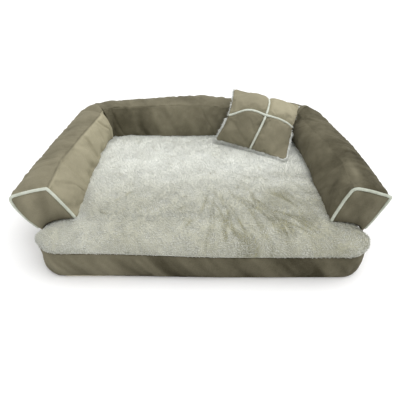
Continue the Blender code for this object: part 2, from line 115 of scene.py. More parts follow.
def unit(vectors: np.ndarray) -> np.ndarray:
    """Vectors divided by their lengths."""
    return vectors / np.linalg.norm(vectors, axis=-1)[..., None]


def capped(vectors: np.ndarray) -> np.ndarray:
    """Vectors with the long ones shortened to a length of one."""
    return vectors / np.maximum(np.linalg.norm(vectors, axis=1)[:, None], 1.0)


def run_along(points: np.ndarray) -> np.ndarray:
    """How far along a path each of its points lies."""
    return np.concatenate([[0], np.cumsum(np.linalg.norm(np.diff(points, axis=0), axis=1))])


# ------------------------------------------------------------------ meshes


def grid_faces(rows: int, columns: int, way: Way = Way.OPEN) -> np.ndarray:
    """Quads of a grid whose point number is row * columns + column."""
    i, j = np.meshgrid(np.arange(rows - 1), np.arange(columns - (way is Way.OPEN)), indexing="ij")
    after = (j + 1) % columns
    here, beyond = i * columns, (i + 1) * columns
    return joined(here + j, beyond + j, beyond + after, here + after).reshape(-1, 4)


def round_cornered(u: np.ndarray, v: np.ndarray, half: tuple,
                   radius: float | np.ndarray) -> tuple[np.ndarray, np.ndarray]:
    """A rectangle's grid drawn in until its corners are round.

    Inside each corner square a point (a, b) goes to (a sqrt(1 - b^2/2), b sqrt(1 - a^2/2)),
    which turns the square into a quarter disc.
    """
    a = np.clip((np.abs(u) - half[0] + radius) / radius, 0, 1)
    b = np.clip((np.abs(v) - half[1] + radius) / radius, 0, 1)
    x = u - np.sign(u) * a * radius * (1 - np.sqrt(1 - b * b / 2))
    y = v - np.sign(v) * b * radius * (1 - np.sqrt(1 - a * a / 2))
    return x, y


def tube_faces(rows: int, columns: int) -> list[tuple]:
    """A grid's faces closed round into a tube, with a face over each end."""
    faces = [tuple(quad) for quad in grid_faces(rows, columns, Way.TUBE)]
    return faces + [tuple(range(columns)), tuple(reversed(range((rows - 1) * columns, rows * columns)))]


def repeated(name: str, one: np.ndarray, faces: list[tuple], centres: np.ndarray) -> bpy.types.Object:
    """One object with a small shape at every centre."""
    points = centres[:, None] + one[None]
    shifted = [tuple(len(one) * number + k for k in face) for number in range(len(centres)) for face in faces]
    return new_object(name, points, shifted)


def new_object(name: str, points: np.ndarray, faces: list | np.ndarray) -> bpy.types.Object:
    """A smooth-shaded mesh object at the origin, linked to the scene."""
    mesh = bpy.data.meshes.new(name)
    mesh.from_pydata(points.reshape(-1, 3).tolist(), [], [tuple(map(int, face)) for face in faces])
    mesh.update()
    mesh.shade_smooth()
    obj = bpy.data.objects.new(name, mesh)
    bpy.context.scene.collection.objects.link(obj)
    return obj


def points_of(mesh: bpy.types.Mesh) -> np.ndarray:
    """A mesh's points as an (n, 3) array."""
    flat = np.zeros(len(mesh.vertices) * 3, np.float32)
    mesh.vertices.foreach_get("co", flat)
    return flat.reshape(-1, 3).astype(float)


def normals_of(mesh: bpy.types.Mesh) -> np.ndarray:
    """A mesh's point normals as an (n, 3) array."""
    flat = np.zeros(len(mesh.vertices) * 3, np.float32)
    mesh.vertex_normals.foreach_get("vector", flat)
    return flat.reshape(-1, 3).astype(float)


def move_points(mesh: bpy.types.Mesh, points: np.ndarray) -> None:
    """Put a mesh's points at new places."""
    mesh.vertices.foreach_set("co", points.astype(np.float32).ravel())
    mesh.update()


def set_value(mesh: bpy.types.Mesh, name: str, values: np.ndarray) -> None:
    """Keep one number per point as a named attribute."""
    layer = mesh.attributes.get(name) or mesh.attributes.new(name, "FLOAT", "POINT")
    layer.data.foreach_set("value", values.astype(np.float32).ravel())


def value_of(mesh: bpy.types.Mesh, name: str) -> np.ndarray:
    """Read back one number per point."""
    values = np.zeros(len(mesh.vertices), np.float32)
    mesh.attributes[name].data.foreach_get("value", values)
    return values.astype(float)


def baked(obj: bpy.types.Object) -> bpy.types.Object:
    """The object with its modifiers applied to its mesh."""
    graph = bpy.context.evaluated_depsgraph_get()
    mesh = bpy.data.meshes.new_from_object(obj.evaluated_get(graph))
    old = obj.data
    obj.modifiers.clear()
    obj.data = mesh
    bpy.data.meshes.remove(old)
    return obj


def keep_ends_crisp(mesh: bpy.types.Mesh, rows: int, columns: int) -> None:
    """Keep the edges round both end rows of a grid sharp when the mesh is refined."""
    ends = np.zeros(len(mesh.edges) * 2, np.int32)
    mesh.edges.foreach_get("vertices", ends)
    row = ends.reshape(-1, 2) // columns
    along = (row[:, 0] == row[:, 1]) & np.isin(row[:, 0], (0, rows - 1))
    for name, kind in (("crease_edge", "FLOAT"), ("sharp_edge", "BOOLEAN")):
        layer = mesh.attributes.get(name) or mesh.attributes.new(name, kind, "EDGE")
        layer.data.foreach_set("value", along)


def refined(obj: bpy.types.Object, levels: int) -> bpy.types.Object:
    """The object after that many levels of Catmull-Clark subdivision."""
    modifier = obj.modifiers.new("refine", "SUBSURF")
    modifier.levels = modifier.render_levels = levels
    modifier.boundary_smooth = "PRESERVE_CORNERS"
    return baked(obj)


def walled(obj: bpy.types.Object, thickness: float) -> bpy.types.Object:
    """The object with its open surface given a fabric's thickness, inwards."""
    modifier = obj.modifiers.new("fabric", "SOLIDIFY")
    modifier.thickness = thickness
    modifier.offset = -1.0
    return baked(obj)


def round_cord(name: str, path: np.ndarray, radius: float, sides: int,
               ripple: float = 0.0) -> bpy.types.Object:
    """A round cord with rounded ends: at each path point a ring in the plane across the path.

    Args:
        name: the object's name.
        path: (n, 3) points down its middle.
        radius: of the cord.
        sides: points in a ring.
        ripple: how far the cover's small folds stand in or out.
    """
    tangent = unit(np.gradient(path, axis=0))
    side = unit(np.cross(tangent, np.array([0.31, 0.87, 0.38])))
    rise = np.cross(side, tangent)
    turn = np.linspace(0, 2 * math.pi, sides, endpoint=False)
    run = run_along(path)
    ends = np.minimum(run, run[-1] - run) / radius
    taper = np.sqrt(np.clip(1 - (1 - np.clip(ends, 0, 1)) ** 2, 0.05, 1))
    fold = ripple * np.sin(run[:, None] / 0.0011 + turn[None, :] * 2) * np.sin(run[:, None] / 0.0057)
    reach = radius * taper[:, None] + fold * taper[:, None]
    ring = path[:, None] + reach[..., None] * (
        np.cos(turn)[None, :, None] * side[:, None] + np.sin(turn)[None, :, None] * rise[:, None])
    return new_object(name, ring, tube_faces(len(path), sides))


def even_path(points: np.ndarray, step: float, rounds: int = 0) -> np.ndarray:
    """A path resampled at even steps, after its corners are cut that many times."""
    for _ in range(rounds):
        first, last = points[:1], points[-1:]
        near = points[:-1] * 0.75 + points[1:] * 0.25
        far = points[:-1] * 0.25 + points[1:] * 0.75
        points = np.concatenate([first, np.stack([near, far], axis=1).reshape(-1, 3), last])
    run = run_along(points)
    at = np.linspace(0, run[-1], max(2, int(run[-1] / step) + 1))
    return np.stack([np.interp(at, run, points[:, k]) for k in range(3)], axis=1)


@dataclass
class Pile:
    """Tufts of plush: each is a bent three-sided cone, seven points and seven faces."""

    length: float = 0.0066
    width: float = 0.0022
    seed: int = 5

    def piece(self, name: str, roots: np.ndarray, normals: np.ndarray, lean: np.ndarray,
              shade: np.ndarray) -> bpy.types.Object:
        """One object of many tufts.

        A tuft's middle ring stands at 0.30 of its length along the normal and 0.28 along its
        lean, and its tip at 0.38 and 0.92.

        Args:
            name: the object's name.
            roots: (n, 3) places.
            normals: (n, 3) directions away from the backing.
            lean: (n, 3) directions that the tufts lie in, with their strength as length.
            shade: the tone at each root.

        Returns:
            The object, with a "shade" that rises from root to tip: painted shade at the roots among the tufts
            and painted light at the tips.
        """
        rng = np.random.default_rng(self.seed)
        count = len(roots)
        side = unit(np.cross(normals, lean + 1e-6))
        other = np.cross(normals, side)
        length = self.length * (0.65 + 0.6 * rng.random(count))[:, None]
        width = self.width * (0.7 + 0.6 * rng.random(count))[:, None]
        turn = rng.random(count) * 2 * math.pi
        points = np.zeros((count, 7, 3))
        rings = ((0, -0.10, 0.0, 0.50), (3, 0.30, 0.28, 0.38))
        for start, rise, along, wide in rings:
            middle = roots + normals * length * rise + lean * length * along
            for k in range(3):
                angle = (turn + k * 2 * math.pi / 3)[:, None]
                points[:, start + k] = middle + width * wide * (np.cos(angle) * side + np.sin(angle) * other)
        points[:, 6] = roots + normals * length * 0.38 + lean * length * 0.92
        first = 7 * np.arange(count)[:, None]
        quads = [first + np.array([k, (k + 1) % 3, 3 + (k + 1) % 3, 3 + k]) for k in range(3)]
        tips = [first + np.array([3 + k, 3 + (k + 1) % 3, 6]) for k in range(3)]
        faces = np.concatenate(quads).tolist() + np.concatenate(tips + [first + np.array([0, 2, 1])]).tolist()
        obj = new_object(name, points, faces)
        # Painted shade at each tuft's root, painted light at its tip.
        rise = np.array([-0.08] * 3 + [0.0] * 3 + [0.05])
        set_value(obj.data, "shade", shade[:, None] + rise + 0.06 * (rng.random(count) - 0.5)[:, None])
        return obj


def plush_clumps(points: np.ndarray, seed: int) -> np.ndarray:
    """How far plush that gathers in clumps stands out, in metres."""
    return 0.0007 * value_noise(points, 0.0065, seed) + 0.0005 * value_noise(points, 0.0038, seed + 1)


def clump_lean(points: np.ndarray, cell: float, seed: int) -> np.ndarray:
    """Sideways directions that gather pile in clumps: the slope of a noise, by differences."""
    slope = np.zeros((len(points), 3))
    for axis in range(2):
        step = np.zeros(3)
        step[axis] = cell * 0.15
        ahead, behind = (layered_noise(points + way * step, cell, seed, 2) for way in (1, -1))
        slope[:, axis] = ahead - behind
    return slope / 0.3


# ------------------------------------------------------------------ cloth


@dataclass
class Cloth:
    """One simulated cover: its object, how hard it is pinned at each point and its cap."""

    obj: bpy.types.Object
    pins: np.ndarray
    pressure: float
    slack: float
    cap: float


class ClothShop:
    """Simulates every cover in one run, from the same rest frame."""

    FRAMES = 16
    FABRIC = {"quality": 5, "mass": 0.15, "tension_stiffness": 12, "compression_stiffness": 12,
              "shear_stiffness": 6, "bending_stiffness": 0.05, "tension_damping": 12,
              "compression_damping": 12, "air_damping": 4, "use_pressure": True}

    def __init__(self) -> None:
        """Start with no covers."""
        self.jobs: list[Cloth] = []

    def take(self, obj: bpy.types.Object, pins: np.ndarray, pressure: float, slack: float,
             cap: float) -> None:
        """Add a cover.

        Args:
            obj: the cover, with a coarse even mesh.
            pins: 1 where a point is held, 0 where it is free.
            pressure: of the filling.
            slack: by what share the fabric is cut larger than its form.
            cap: the furthest that a point may move, in metres.
        """
        self.jobs.append(Cloth(obj, pins, pressure, slack, cap))

    def run(self) -> None:
        """Puff every cover, and leave the result in its mesh."""
        scene = bpy.context.scene
        starts = []
        for job in self.jobs:
            starts.append(points_of(job.obj.data))
            group = job.obj.vertex_groups.new(name="pin")
            group.add(np.nonzero(np.isclose(job.pins, 1.0))[0].tolist(), 1.0, "REPLACE")
            modifier = job.obj.modifiers.new("cloth", "CLOTH")
            settings = modifier.settings
            for name, value in self.FABRIC.items():
                setattr(settings, name, value)
            settings.uniform_pressure_force = job.pressure
            settings.effector_weights.gravity = 0
            settings.vertex_group_mass = "pin"
            settings.shrink_min = -job.slack
            modifier.collision_settings.use_collision = False
            modifier.point_cache.frame_start = 1
            modifier.point_cache.frame_end = self.FRAMES
        for number in range(1, self.FRAMES + 1):
            scene.frame_set(number)
        for job, start in zip(self.jobs, starts):
            moved = points_of(bpy.data.meshes.new_from_object(
                job.obj.evaluated_get(bpy.context.evaluated_depsgraph_get())))
            shift = moved - start
            length = np.linalg.norm(shift, axis=1)
            shift *= (job.cap * np.tanh(length / job.cap) / np.maximum(length, 1e-9))[:, None]
            job.obj.modifiers.clear()
            job.obj.vertex_groups.clear()
            move_points(job.obj.data, start + shift)
        scene.frame_set(1)


# ------------------------------------------------------------------ finishes


@dataclass(frozen=True)
class Cotton:
    """A fabric finish: its dark and light colours, how it catches light and its pile."""

    name: str
    dark: tuple[float, float, float]
    light: tuple[float, float, float]
    roughness: float = 0.9
    sheen: float = 0.4
    sheen_roughness: float = 0.4
    blotch: float = 0.06
    streak: float = 0.25
    grain: float = 900.0
    grain_depth: float = 0.35
    speckle: float = 0.10


@dataclass(frozen=True)
class Solid:
    """A finish of one colour: metal, moulded nylon, foam."""

    name: str
    colour: tuple[float, float, float]
    roughness: float
    metallic: float = 0.0
    grain: float = 300.0
    grain_depth: float = 0.1
    wear: float = 0.15


class Finishes:
    """Builds the shared node groups once, and a material for each finish."""

    FABRIC_RELIEF = 0.0012
    SOLID_RELIEF = 0.0004
    SPECK_SCALE = 420.0

    def __init__(self) -> None:
        """Make both node groups."""
        self.nap = self._nap_and_shade_group()
        self.grain = self._grain_group()
        self.made: dict[str, bpy.types.Material] = {}

    @staticmethod
    def _feed(tree: bpy.types.NodeTree, node: bpy.types.Node, inputs: dict) -> bpy.types.Node:
        """Give a node's inputs their fixed values, or link them to other nodes' sockets."""
        for key, value in inputs.items():
            if isinstance(value, bpy.types.NodeSocket):
                tree.links.new(value, node.inputs[key])
            else:
                node.inputs[key].default_value = value
        return node

    def _node(self, tree: bpy.types.NodeTree, kind: str, inputs: dict,
              **settings: object) -> bpy.types.Node:
        """A new node with its settings and its inputs."""
        node = tree.nodes.new(f"ShaderNode{kind}")
        for name, value in settings.items():
            setattr(node, name, value)
        return self._feed(tree, node, inputs)

    def _noise(self, tree: bpy.types.NodeTree, place: bpy.types.NodeSocket, scale: object,
               detail: float, rough: float) -> bpy.types.NodeSocket:
        """A noise texture's value."""
        inputs = {"Vector": place, "Scale": scale, "Detail": detail, "Roughness": rough}
        return self._node(tree, "TexNoise", inputs).outputs["Fac"]

    def _math(self, tree: bpy.types.NodeTree, operation: str, a: object, b: object,
              clamp: bool = False) -> bpy.types.NodeSocket:
        """The result of a math node on two sockets or numbers."""
        return self._node(tree, "Math", {0: a, 1: b}, operation=operation, use_clamp=clamp).outputs[0]

    def _around_zero(self, tree: bpy.types.NodeTree, value: bpy.types.NodeSocket,
                     strength: bpy.types.NodeSocket) -> bpy.types.NodeSocket:
        """(value - 0.5) times twice the strength."""
        doubled = self._math(tree, "MULTIPLY", self._math(tree, "SUBTRACT", value, 0.5), 2.0)
        return self._math(tree, "MULTIPLY", doubled, strength)

    @staticmethod
    def _group(name: str, inputs: dict, outputs: tuple) -> tuple:
        """A node group, its given sockets, its result node and the object's own coordinates."""
        tree = bpy.data.node_groups.new(name, "ShaderNodeTree")
        for label, value in inputs.items():
            kind = "NodeSocketFloat" if isinstance(value, float) else "NodeSocketColor"
            tree.interface.new_socket(name=label, in_out="INPUT", socket_type=kind).default_value = value
        for label in outputs:
            kind = "NodeSocketColor" if label == "Colour" else "NodeSocketFloat"
            tree.interface.new_socket(name=label, in_out="OUTPUT", socket_type=kind)
        given, result = tree.nodes.new("NodeGroupInput"), tree.nodes.new("NodeGroupOutput")
        return tree, given.outputs, result, tree.nodes.new("ShaderNodeTexCoord").outputs["Object"]

    def _nap_and_shade_group(self) -> bpy.types.NodeTree:
        """Tone of a napped fabric: shade, plus soft blotches, streaks and specks.

        The factor between the dark and the light colour is the piece's own shade, which holds
        painted light and shade as well as the fabric's own tone, moved by noise at two scales.
        """
        tree, given, result, place = self._group("nap_and_painted_shade", {
            "Shade": 0.5, "Dark": (0.1, 0.1, 0.1, 1), "Light": (0.4, 0.4, 0.4, 1),
            "Blotch Size": 16.0, "Streak": 0.2, "Speckle": 0.1}, ("Colour", "Tone"))
        stretch = self._node(tree, "Mapping", {
            "Vector": place, "Scale": (1.0, 0.35, 0.6), "Rotation": (0.4, 0.2, 0.5)})
        blotch = self._noise(tree, stretch.outputs["Vector"], given["Blotch Size"], 3.0, 0.55)
        speck = self._noise(tree, place, self.SPECK_SCALE, 2.0, 0.6)
        total = self._math(tree, "ADD", given["Shade"], self._around_zero(tree, blotch, given["Streak"]))
        specks = self._around_zero(tree, speck, given["Speckle"])
        total = self._math(tree, "ADD", total, specks, clamp=True)
        mix = self._node(tree, "Mix", {}, data_type="RGBA")
        self._feed(tree, mix, {0: total, 6: given["Dark"], 7: given["Light"]})
        self._feed(tree, result, {"Colour": mix.outputs[2], "Tone": total})
        return tree

    def _grain_group(self) -> bpy.types.NodeTree:
        """Height of a fine fibrous grain: noise at the grain's scale and at a third of it."""
        tree, given, result, place = self._group("fine_grain", {"Scale": 900.0}, ("Height", "Wear"))
        third = self._math(tree, "MULTIPLY", given["Scale"], 0.33)
        fine = self._noise(tree, place, given["Scale"], 3.0, 0.6)
        coarse = self._noise(tree, place, third, 2.0, 0.5)
        self._feed(tree, result, {"Height": self._math(tree, "ADD", fine, coarse), "Wear": coarse})
        return tree

    def _started(self, finish: Cotton | Solid, relief: float) -> tuple:
        """A material with its grain as relief and its tone as colour.

        Returns:
            (node tree, shader, tone node, grain node) of the new material.
        """
        self.made[finish.name] = material = bpy.data.materials.new(finish.name)
        material.use_nodes = True
        tree = material.node_tree
        tone = self._node(tree, "Group", {}, node_tree=self.nap)
        grain = self._node(tree, "Group", {"Scale": finish.grain}, node_tree=self.grain)
        bump = self._node(tree, "Bump", {
            "Strength": finish.grain_depth, "Distance": relief, "Height": grain.outputs["Height"]})
        shader = self._feed(tree, tree.nodes["Principled BSDF"], {
            "Base Color": tone.outputs["Colour"], "Normal": bump.outputs["Normal"]})
        return tree, shader, tone, grain

    def fabric(self, finish: Cotton) -> bpy.types.Material:
        """The material of a fabric finish, made once. It reads the piece's own "shade"."""
        if finish.name not in self.made:
            tree, shader, tone, _ = self._started(finish, self.FABRIC_RELIEF)
            shade = self._node(tree, "Attribute", {}, attribute_name="shade")
            self._feed(tree, tone, {
                "Shade": shade.outputs["Fac"], "Dark": (*finish.dark, 1), "Light": (*finish.light, 1),
                "Blotch Size": 1.0 / finish.blotch, "Streak": finish.streak, "Speckle": finish.speckle})
            self._feed(tree, shader, {
                "Roughness": finish.roughness, "Sheen Weight": finish.sheen,
                "Sheen Roughness": finish.sheen_roughness, "Sheen Tint": (*finish.light, 1),
                "Specular IOR Level": 0.15})
        return self.made[finish.name]

    def solid(self, finish: Solid) -> bpy.types.Material:
        """The material of a one-coloured finish, made once, with wear in its roughness."""
        if finish.name not in self.made:
            tree, shader, tone, grain = self._started(finish, self.SOLID_RELIEF)
            self._feed(tree, tone, {
                "Dark": (*(c * 0.75 for c in finish.colour), 1),
                "Light": (*(min(1.0, c * 1.2) for c in finish.colour), 1),
                "Blotch Size": 60.0, "Streak": finish.wear})
            rough = self._math(tree, "MULTIPLY", grain.outputs["Wear"], finish.roughness * 2, clamp=True)
            self._feed(tree, shader, {"Metallic": finish.metallic, "Roughness": rough})
        return self.made[finish.name]


# The dark and light colours of suede, plush and piping span painted light and shade too, carried in each
# piece's "shade".
SUEDE = Cotton("taupe_suede", (0.033, 0.028, 0.014), (0.437, 0.401, 0.281), sheen=0.12, streak=0.08)
PLUSH = Cotton("cream_plush", (0.300, 0.290, 0.195), (0.965, 0.985, 0.945), sheen=0.6, blotch=0.05,
               streak=0.10, grain=700.0, grain_depth=0.4, speckle=0.08)
CORD = Cotton("cream_piping", (0.385, 0.410, 0.335), (0.675, 0.703, 0.620), sheen=0.2,
              grain=1500.0, speckle=0.08)
CANVAS = Cotton("grip_canvas", (0.020, 0.018, 0.015), (0.080, 0.070, 0.055), sheen=0.0, grain=1400.0)
TAPE = Cotton("zip_tape", (0.060, 0.050, 0.036), (0.170, 0.150, 0.110), sheen=0.1, grain=2600.0)
SATIN = Cotton("label_satin", (0.600, 0.600, 0.570), (0.850, 0.850, 0.820), roughness=0.45,
               sheen=0.1, grain=3000.0)
FOAM = Solid("cushion_foam", (0.700, 0.620, 0.400), 0.9, grain=500.0, grain_depth=0.6)
COIL = Solid("zip_coil", (0.110, 0.095, 0.070), 0.38)
METAL = Solid("zip_metal", (0.560, 0.540, 0.500), 0.28, metallic=1.0, grain=600.0)


def dress(obj: bpy.types.Object, material: bpy.types.Material, slot: str, body: str, *nodes: str) -> None:
    """Give a piece its material, hang it on its body and hide the CAD nodes that it stands for."""
    obj.data.materials.clear()
    obj.data.materials.append(material)
    if obj.type == "MESH" and "shade" not in obj.data.attributes:
        set_value(obj.data, "shade", np.full(len(obj.data.vertices), 0.5))
    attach(obj, body)
    if nodes:
        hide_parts(*nodes)
    LOG.info("%s rides on %s, %d faces", obj.name, body, len(obj.data.polygons))


# ------------------------------------------------------------------ seat cushion


@dataclass
class SeatCushion:
    """The boxed seat: plush top, suede gusset band and strips."""

    finishes: Finishes
    shop: ClothShop
    half_width: float = 0.405
    front: float = -0.303
    back: float = 0.285
    front_radius: float = 0.060
    back_radius: float = 0.170
    seam: float = 0.073
    height: float = 0.115
    cell: float = 0.0137
    spare: float = 0.0345
    roll_run: tuple = (0.0, 0.0124, 0.0235, 0.0396, 0.0645, 0.0945, 0.1445)
    roll_inset: tuple = (0.0022, -0.0050, -0.0050, 0.0060, 0.0300, 0.0600, 0.1100)
    roll_rise: tuple = (0.0, 0.26, 0.52, 0.80, 0.96, 1.0, 1.0)
    press_run: tuple = (0.0, 0.010, 0.022, 0.040, 0.070, 0.1445)
    press_inset: tuple = (0.0, 0.004, 0.014, 0.032, 0.060, 0.110)
    press_width: float = 0.110
    press_power: float = 2.2
    tufts: int = 17500
    fan_lines: int = 15
    short_lines: int = 60
    parting_width: float = 0.0030
    shown: tuple = (0.312, 0.189, -0.2090)

    def side_height(self, inset: np.ndarray) -> np.ndarray:
        """Top's height that far in from a pressed edge: a superellipse from seam to flat."""
        along = np.clip(inset / self.press_width, 0, 1)
        share = (1 - (1 - along) ** self.press_power) ** (1 / self.press_power)
        return self.seam + (self.height - self.seam) * share

    def flat_points(self, rows: int, columns: int) -> np.ndarray:
        """The flat cut: a grid drawn into a rectangle with round corners."""
        half = np.array([self.half_width, (self.back - self.front) / 2]) + self.spare
        u, v = np.meshgrid(np.linspace(-half[0], half[0], columns), np.linspace(-half[1], half[1], rows))
        radius = np.where(v > 0, self.back_radius, self.front_radius) + self.spare
        return joined(*round_cornered(u, v, tuple(half), radius))

    def settled(self, points: np.ndarray) -> np.ndarray:
        """Points of the cover with the front's left half set back and drawn up off the floor.

        The share grows as a smooth step towards the left corner. A point moves back by 5.5 mm and
        by 3.5 mm more at the seam, and up by 3 mm, and 2.5 mm more at the seam.
        """
        share = smoothstep((0.10 - points[..., 0]) / 0.40) * smoothstep((-0.20 - points[..., 1]) / 0.08)
        level = np.clip(points[..., 2] / self.seam, 0, 1) ** 2
        moved = points.copy()
        moved[..., 1] += share * (0.0055 + 0.0035 * level)
        moved[..., 2] += share * (0.0030 + 0.0025 * level)
        return moved

    def _top_points(self, rows: int, columns: int) -> tuple[np.ndarray, np.ndarray]:
        """Places of the top panel's grid, and how far each is from its edge along the cloth.

        Each flat point has a distance to the cut's edge and an outward direction there. The
        distance picks the inset and height from the roll or the pressed profile.
        """
        flat = self.flat_points(rows, columns)
        middle = (self.front + self.back) / 2
        radius = np.where(flat[..., 1] > 0, self.back_radius, self.front_radius)
        half = np.array([self.half_width, (self.back - self.front) / 2])
        inner = np.abs(flat) - (half - radius[..., None])
        corner = np.maximum(inner, 0)
        reach = np.linalg.norm(corner, axis=-1)
        both = (inner > 0).all(axis=-1)
        run = np.where(both, radius + self.spare - reach, radius + self.spare - inner.max(axis=-1))
        run = np.maximum(run, 0)
        sideways = np.stack([inner[..., 0] >= inner[..., 1], inner[..., 0] < inner[..., 1]], axis=-1)
        out = np.where(both[..., None], corner / np.maximum(reach, 1e-9)[..., None], sideways) * np.sign(flat)
        pressed = smoothstep((flat[..., 1] + middle + 0.262) / 0.036)
        roll = np.interp(run, self.roll_run, self.roll_inset)
        push = np.interp(run, self.press_run, self.press_inset)
        inset = np.where(run > 0.1445, run - self.spare, roll * (1 - pressed) + push * pressed)
        low = self.seam + (self.height - self.seam) * np.interp(run, self.roll_run, self.roll_rise)
        high = low * (1 - pressed) + self.side_height(push) * pressed
        plan = flat - out * (inset - run + self.spare)[..., None]
        return np.stack([plan[..., 0], plan[..., 1] + middle, high], axis=-1), run

    def build_top(self) -> bpy.types.Object:
        """The plush top before its simulation, held at its seam and under the bolsters."""
        columns = int(2 * (self.half_width + self.spare) / self.cell)
        rows = int((self.back - self.front + 2 * self.spare) / self.cell)
        points, run = self._top_points(rows, columns)
        crown = 0.006 * smoothstep(run / 0.25)
        points[..., 2] += crown
        points = self.settled(points)
        # Rows run front to back, and columns left to right, so a face's own turn points down.
        faces = grid_faces(rows, columns)[:, ::-1]
        obj = new_object("seat_plush_top", points, faces)
        set_value(obj.data, "run", run)
        flat = points.reshape(-1, 3)
        covered = (np.abs(flat[:, 0]) > 0.335) | (flat[:, 1] > 0.205)
        pins = np.where((run.ravel() < 0.004) | (covered & (flat[:, 1] > -0.215)), 1.0, 0.0)
        self.shop.take(obj, pins, pressure=0.6, slack=0.012, cap=0.006)
        return obj

    def finish_top(self, obj: bpy.types.Object) -> None:
        """Refine the top and raise its pile: clumps, trodden hollows and brushed streaks."""
        refined(obj, 2)
        mesh = obj.data
        points, normals = points_of(mesh), normals_of(mesh)
        clump = plush_clumps(points, 11)
        swell = 0.0024 * layered_noise(points, 0.070, 13)
        fan, parting = self._brush_fan(points), self._partings(points)
        height = clump + swell - 0.0026 * fan - 0.0016 * parting
        keep = smoothstep(value_of(mesh, "run") / 0.012)
        move_points(mesh, points + normals * (height * keep)[:, None])
        front = smoothstep((0.04 - points[:, 1]) / 0.22)
        # Random patches of tone, plus painted shade: lighter on the raised clumps and darker between them.
        tone = 0.95 + 0.04 * layered_noise(points, 0.09, 15) + 0.03 * clump / 0.001
        # Painted shade in the brush marks, most in their pressed grooves.
        tone -= 0.42 * np.clip(fan, 0, 1) + 0.06 * np.clip(-fan, 0, 1)
        # Painted shade over the front half, deeper to the right and a little less to the left, and in the
        # partings of the pile.
        tone -= front * (0.41 + 0.10 * smoothstep((points[:, 0] - 0.02) / 0.3))
        tone += 0.05 * front * smoothstep((-0.10 - points[:, 0]) / 0.25) - 0.40 * parting
        set_value(mesh, "shade", tone)
        self._lay_pile(points_of(mesh), normals_of(mesh), tone, fan, value_of(mesh, "run"))
        # Painted shade on the backing: 0.30 darker than the pile, and black where it is tucked in at the seam
        # under the bolsters.
        tucked = (points[:, 1] > -0.20) & (value_of(mesh, "run") < 0.02)
        set_value(mesh, "shade", np.where(tucked, 0.0, tone - 0.30))
        walled(obj, 0.0024)
        dress(obj, self.finishes.fabric(PLUSH), "cream_plush", BED, "seat_plush_panel", "seat_batting")

    def _lay_pile(self, points: np.ndarray, normals: np.ndarray, tone: np.ndarray, fan: np.ndarray,
                  run: np.ndarray) -> None:
        """Tufts on every part of the top that shows, in three pieces from left to right."""
        x, y = np.abs(points[:, 0]), points[:, 1]
        arm, behind, front = self.shown
        shows = (((x < arm) & (y < behind)) | (y < front)) & (run > 0.002) & (normals[:, 2] > -0.95)
        rng = np.random.default_rng(23)
        chosen = np.nonzero(shows)[0]
        chosen = np.sort(rng.permutation(chosen)[: 3 * self.tufts])
        roots = points[chosen] + (rng.random((len(chosen), 3)) - 0.5) * [0.003, 0.003, 0.0]
        ruffled = 0.5 + 0.5 * smoothstep((0.10 - roots[:, 1:2]) / 0.25)
        lean = (clump_lean(roots, 0.050, 25) * 0.8 + clump_lean(roots, 0.012, 27) * 0.30) * ruffled
        lean += (rng.random((len(chosen), 3)) - 0.5) * 0.5
        lean += np.array([0.45, -0.35, 0.0]) + fan[chosen][:, None] * np.array([0.9, 0.3, 0.0])
        normal = normals[chosen]
        lean -= normal * (lean * normal).sum(axis=1)[:, None]
        lean = capped(lean)
        order = np.argsort(roots[:, 0])
        for number, part in enumerate(np.array_split(order, 3)):
            pile = Pile(seed=29 + number).piece(
                f"seat_pile_{number + 1}", roots[part], normal[part], lean[part], tone[chosen][part])
            dress(pile, self.finishes.fabric(PLUSH), "cream_plush", BED)

    def _brush_fan(self, points: np.ndarray) -> np.ndarray:
        """Brush marks: curling stripes of noise that fan out from a point to the front right."""
        dx, dy = points[:, 0] - 0.02, points[:, 1] + 0.02
        angle, reach = np.arctan2(dy, dx), np.hypot(dx, dy)
        warped = angle + 0.22 * value_noise(points, 0.075, 16) + 1.1 * (reach - 0.15)
        polar = np.stack([warped * 0.30, reach * 0.22, np.zeros(len(dx))], axis=1)
        stripes = value_noise(polar, 0.024, 17) * 0.7 + value_noise(polar, 0.011, 18) * 0.5
        sector = smoothstep((angle + 2.0) / 0.5) * smoothstep((0.20 - angle) / 0.4)
        patchy = 0.35 + 0.65 * smoothstep(0.5 + value_noise(points, 0.045, 19))
        faded = smoothstep((reach - 0.03) / 0.12) * smoothstep((0.40 - reach) / 0.14)
        return stripes * sector * patchy * faded

    def _partings(self, points: np.ndarray) -> np.ndarray:
        """Lines where the pile parts: long ones that fan out to the front, short ones elsewhere.

        A parting is a bent line. Its depth falls off as exp(-(d / width)^2) with the distance d
        from it and as the sine of the share along it towards both of its ends.
        """
        fan, short = self.fan_lines, self.short_lines
        rng = np.random.default_rng(47)
        share = (np.arange(fan) + 0.5) / fan
        jitter = (rng.random((fan, 4)) - 0.5) * [0.03, 0.06, 0.03, 0.03]
        start = np.stack([-0.03 + 0.20 * share, -0.100 - 0.090 * share], axis=1) + jitter[:, :2]
        end = np.stack([-0.01 + 0.32 * share, -0.302 + 0.020 * share], axis=1) + jitter[:, 2:]
        middle = np.stack([rng.uniform(-0.27, 0.18, short), rng.uniform(-0.24, 0.16, short)], axis=1)
        turn = rng.uniform(0, math.pi, short)
        half = (rng.uniform(0.007, 0.020, short) * np.stack([np.cos(turn), np.sin(turn)])).T
        starts, ends = np.concatenate([start, middle - half]), np.concatenate([end, middle + half])
        bends = np.concatenate([0.12 + 0.10 * (rng.random(fan) - 0.5), rng.uniform(-0.4, 0.4, short)])
        strength = np.concatenate([0.55 + 0.45 * rng.random(fan), 0.35 + 0.50 * rng.random(short)])
        depth = np.zeros(len(points))
        t = np.linspace(0, 1, 8)[:, None]
        for first, last, bend, strong in zip(starts, ends, bends, strength):
            run = last - first
            path = first + run * t + np.array([-run[1], run[0]]) * bend * 4 * t * (1 - t)
            for number in range(7):
                step, offset = path[number + 1] - path[number], points[:, :2] - path[number]
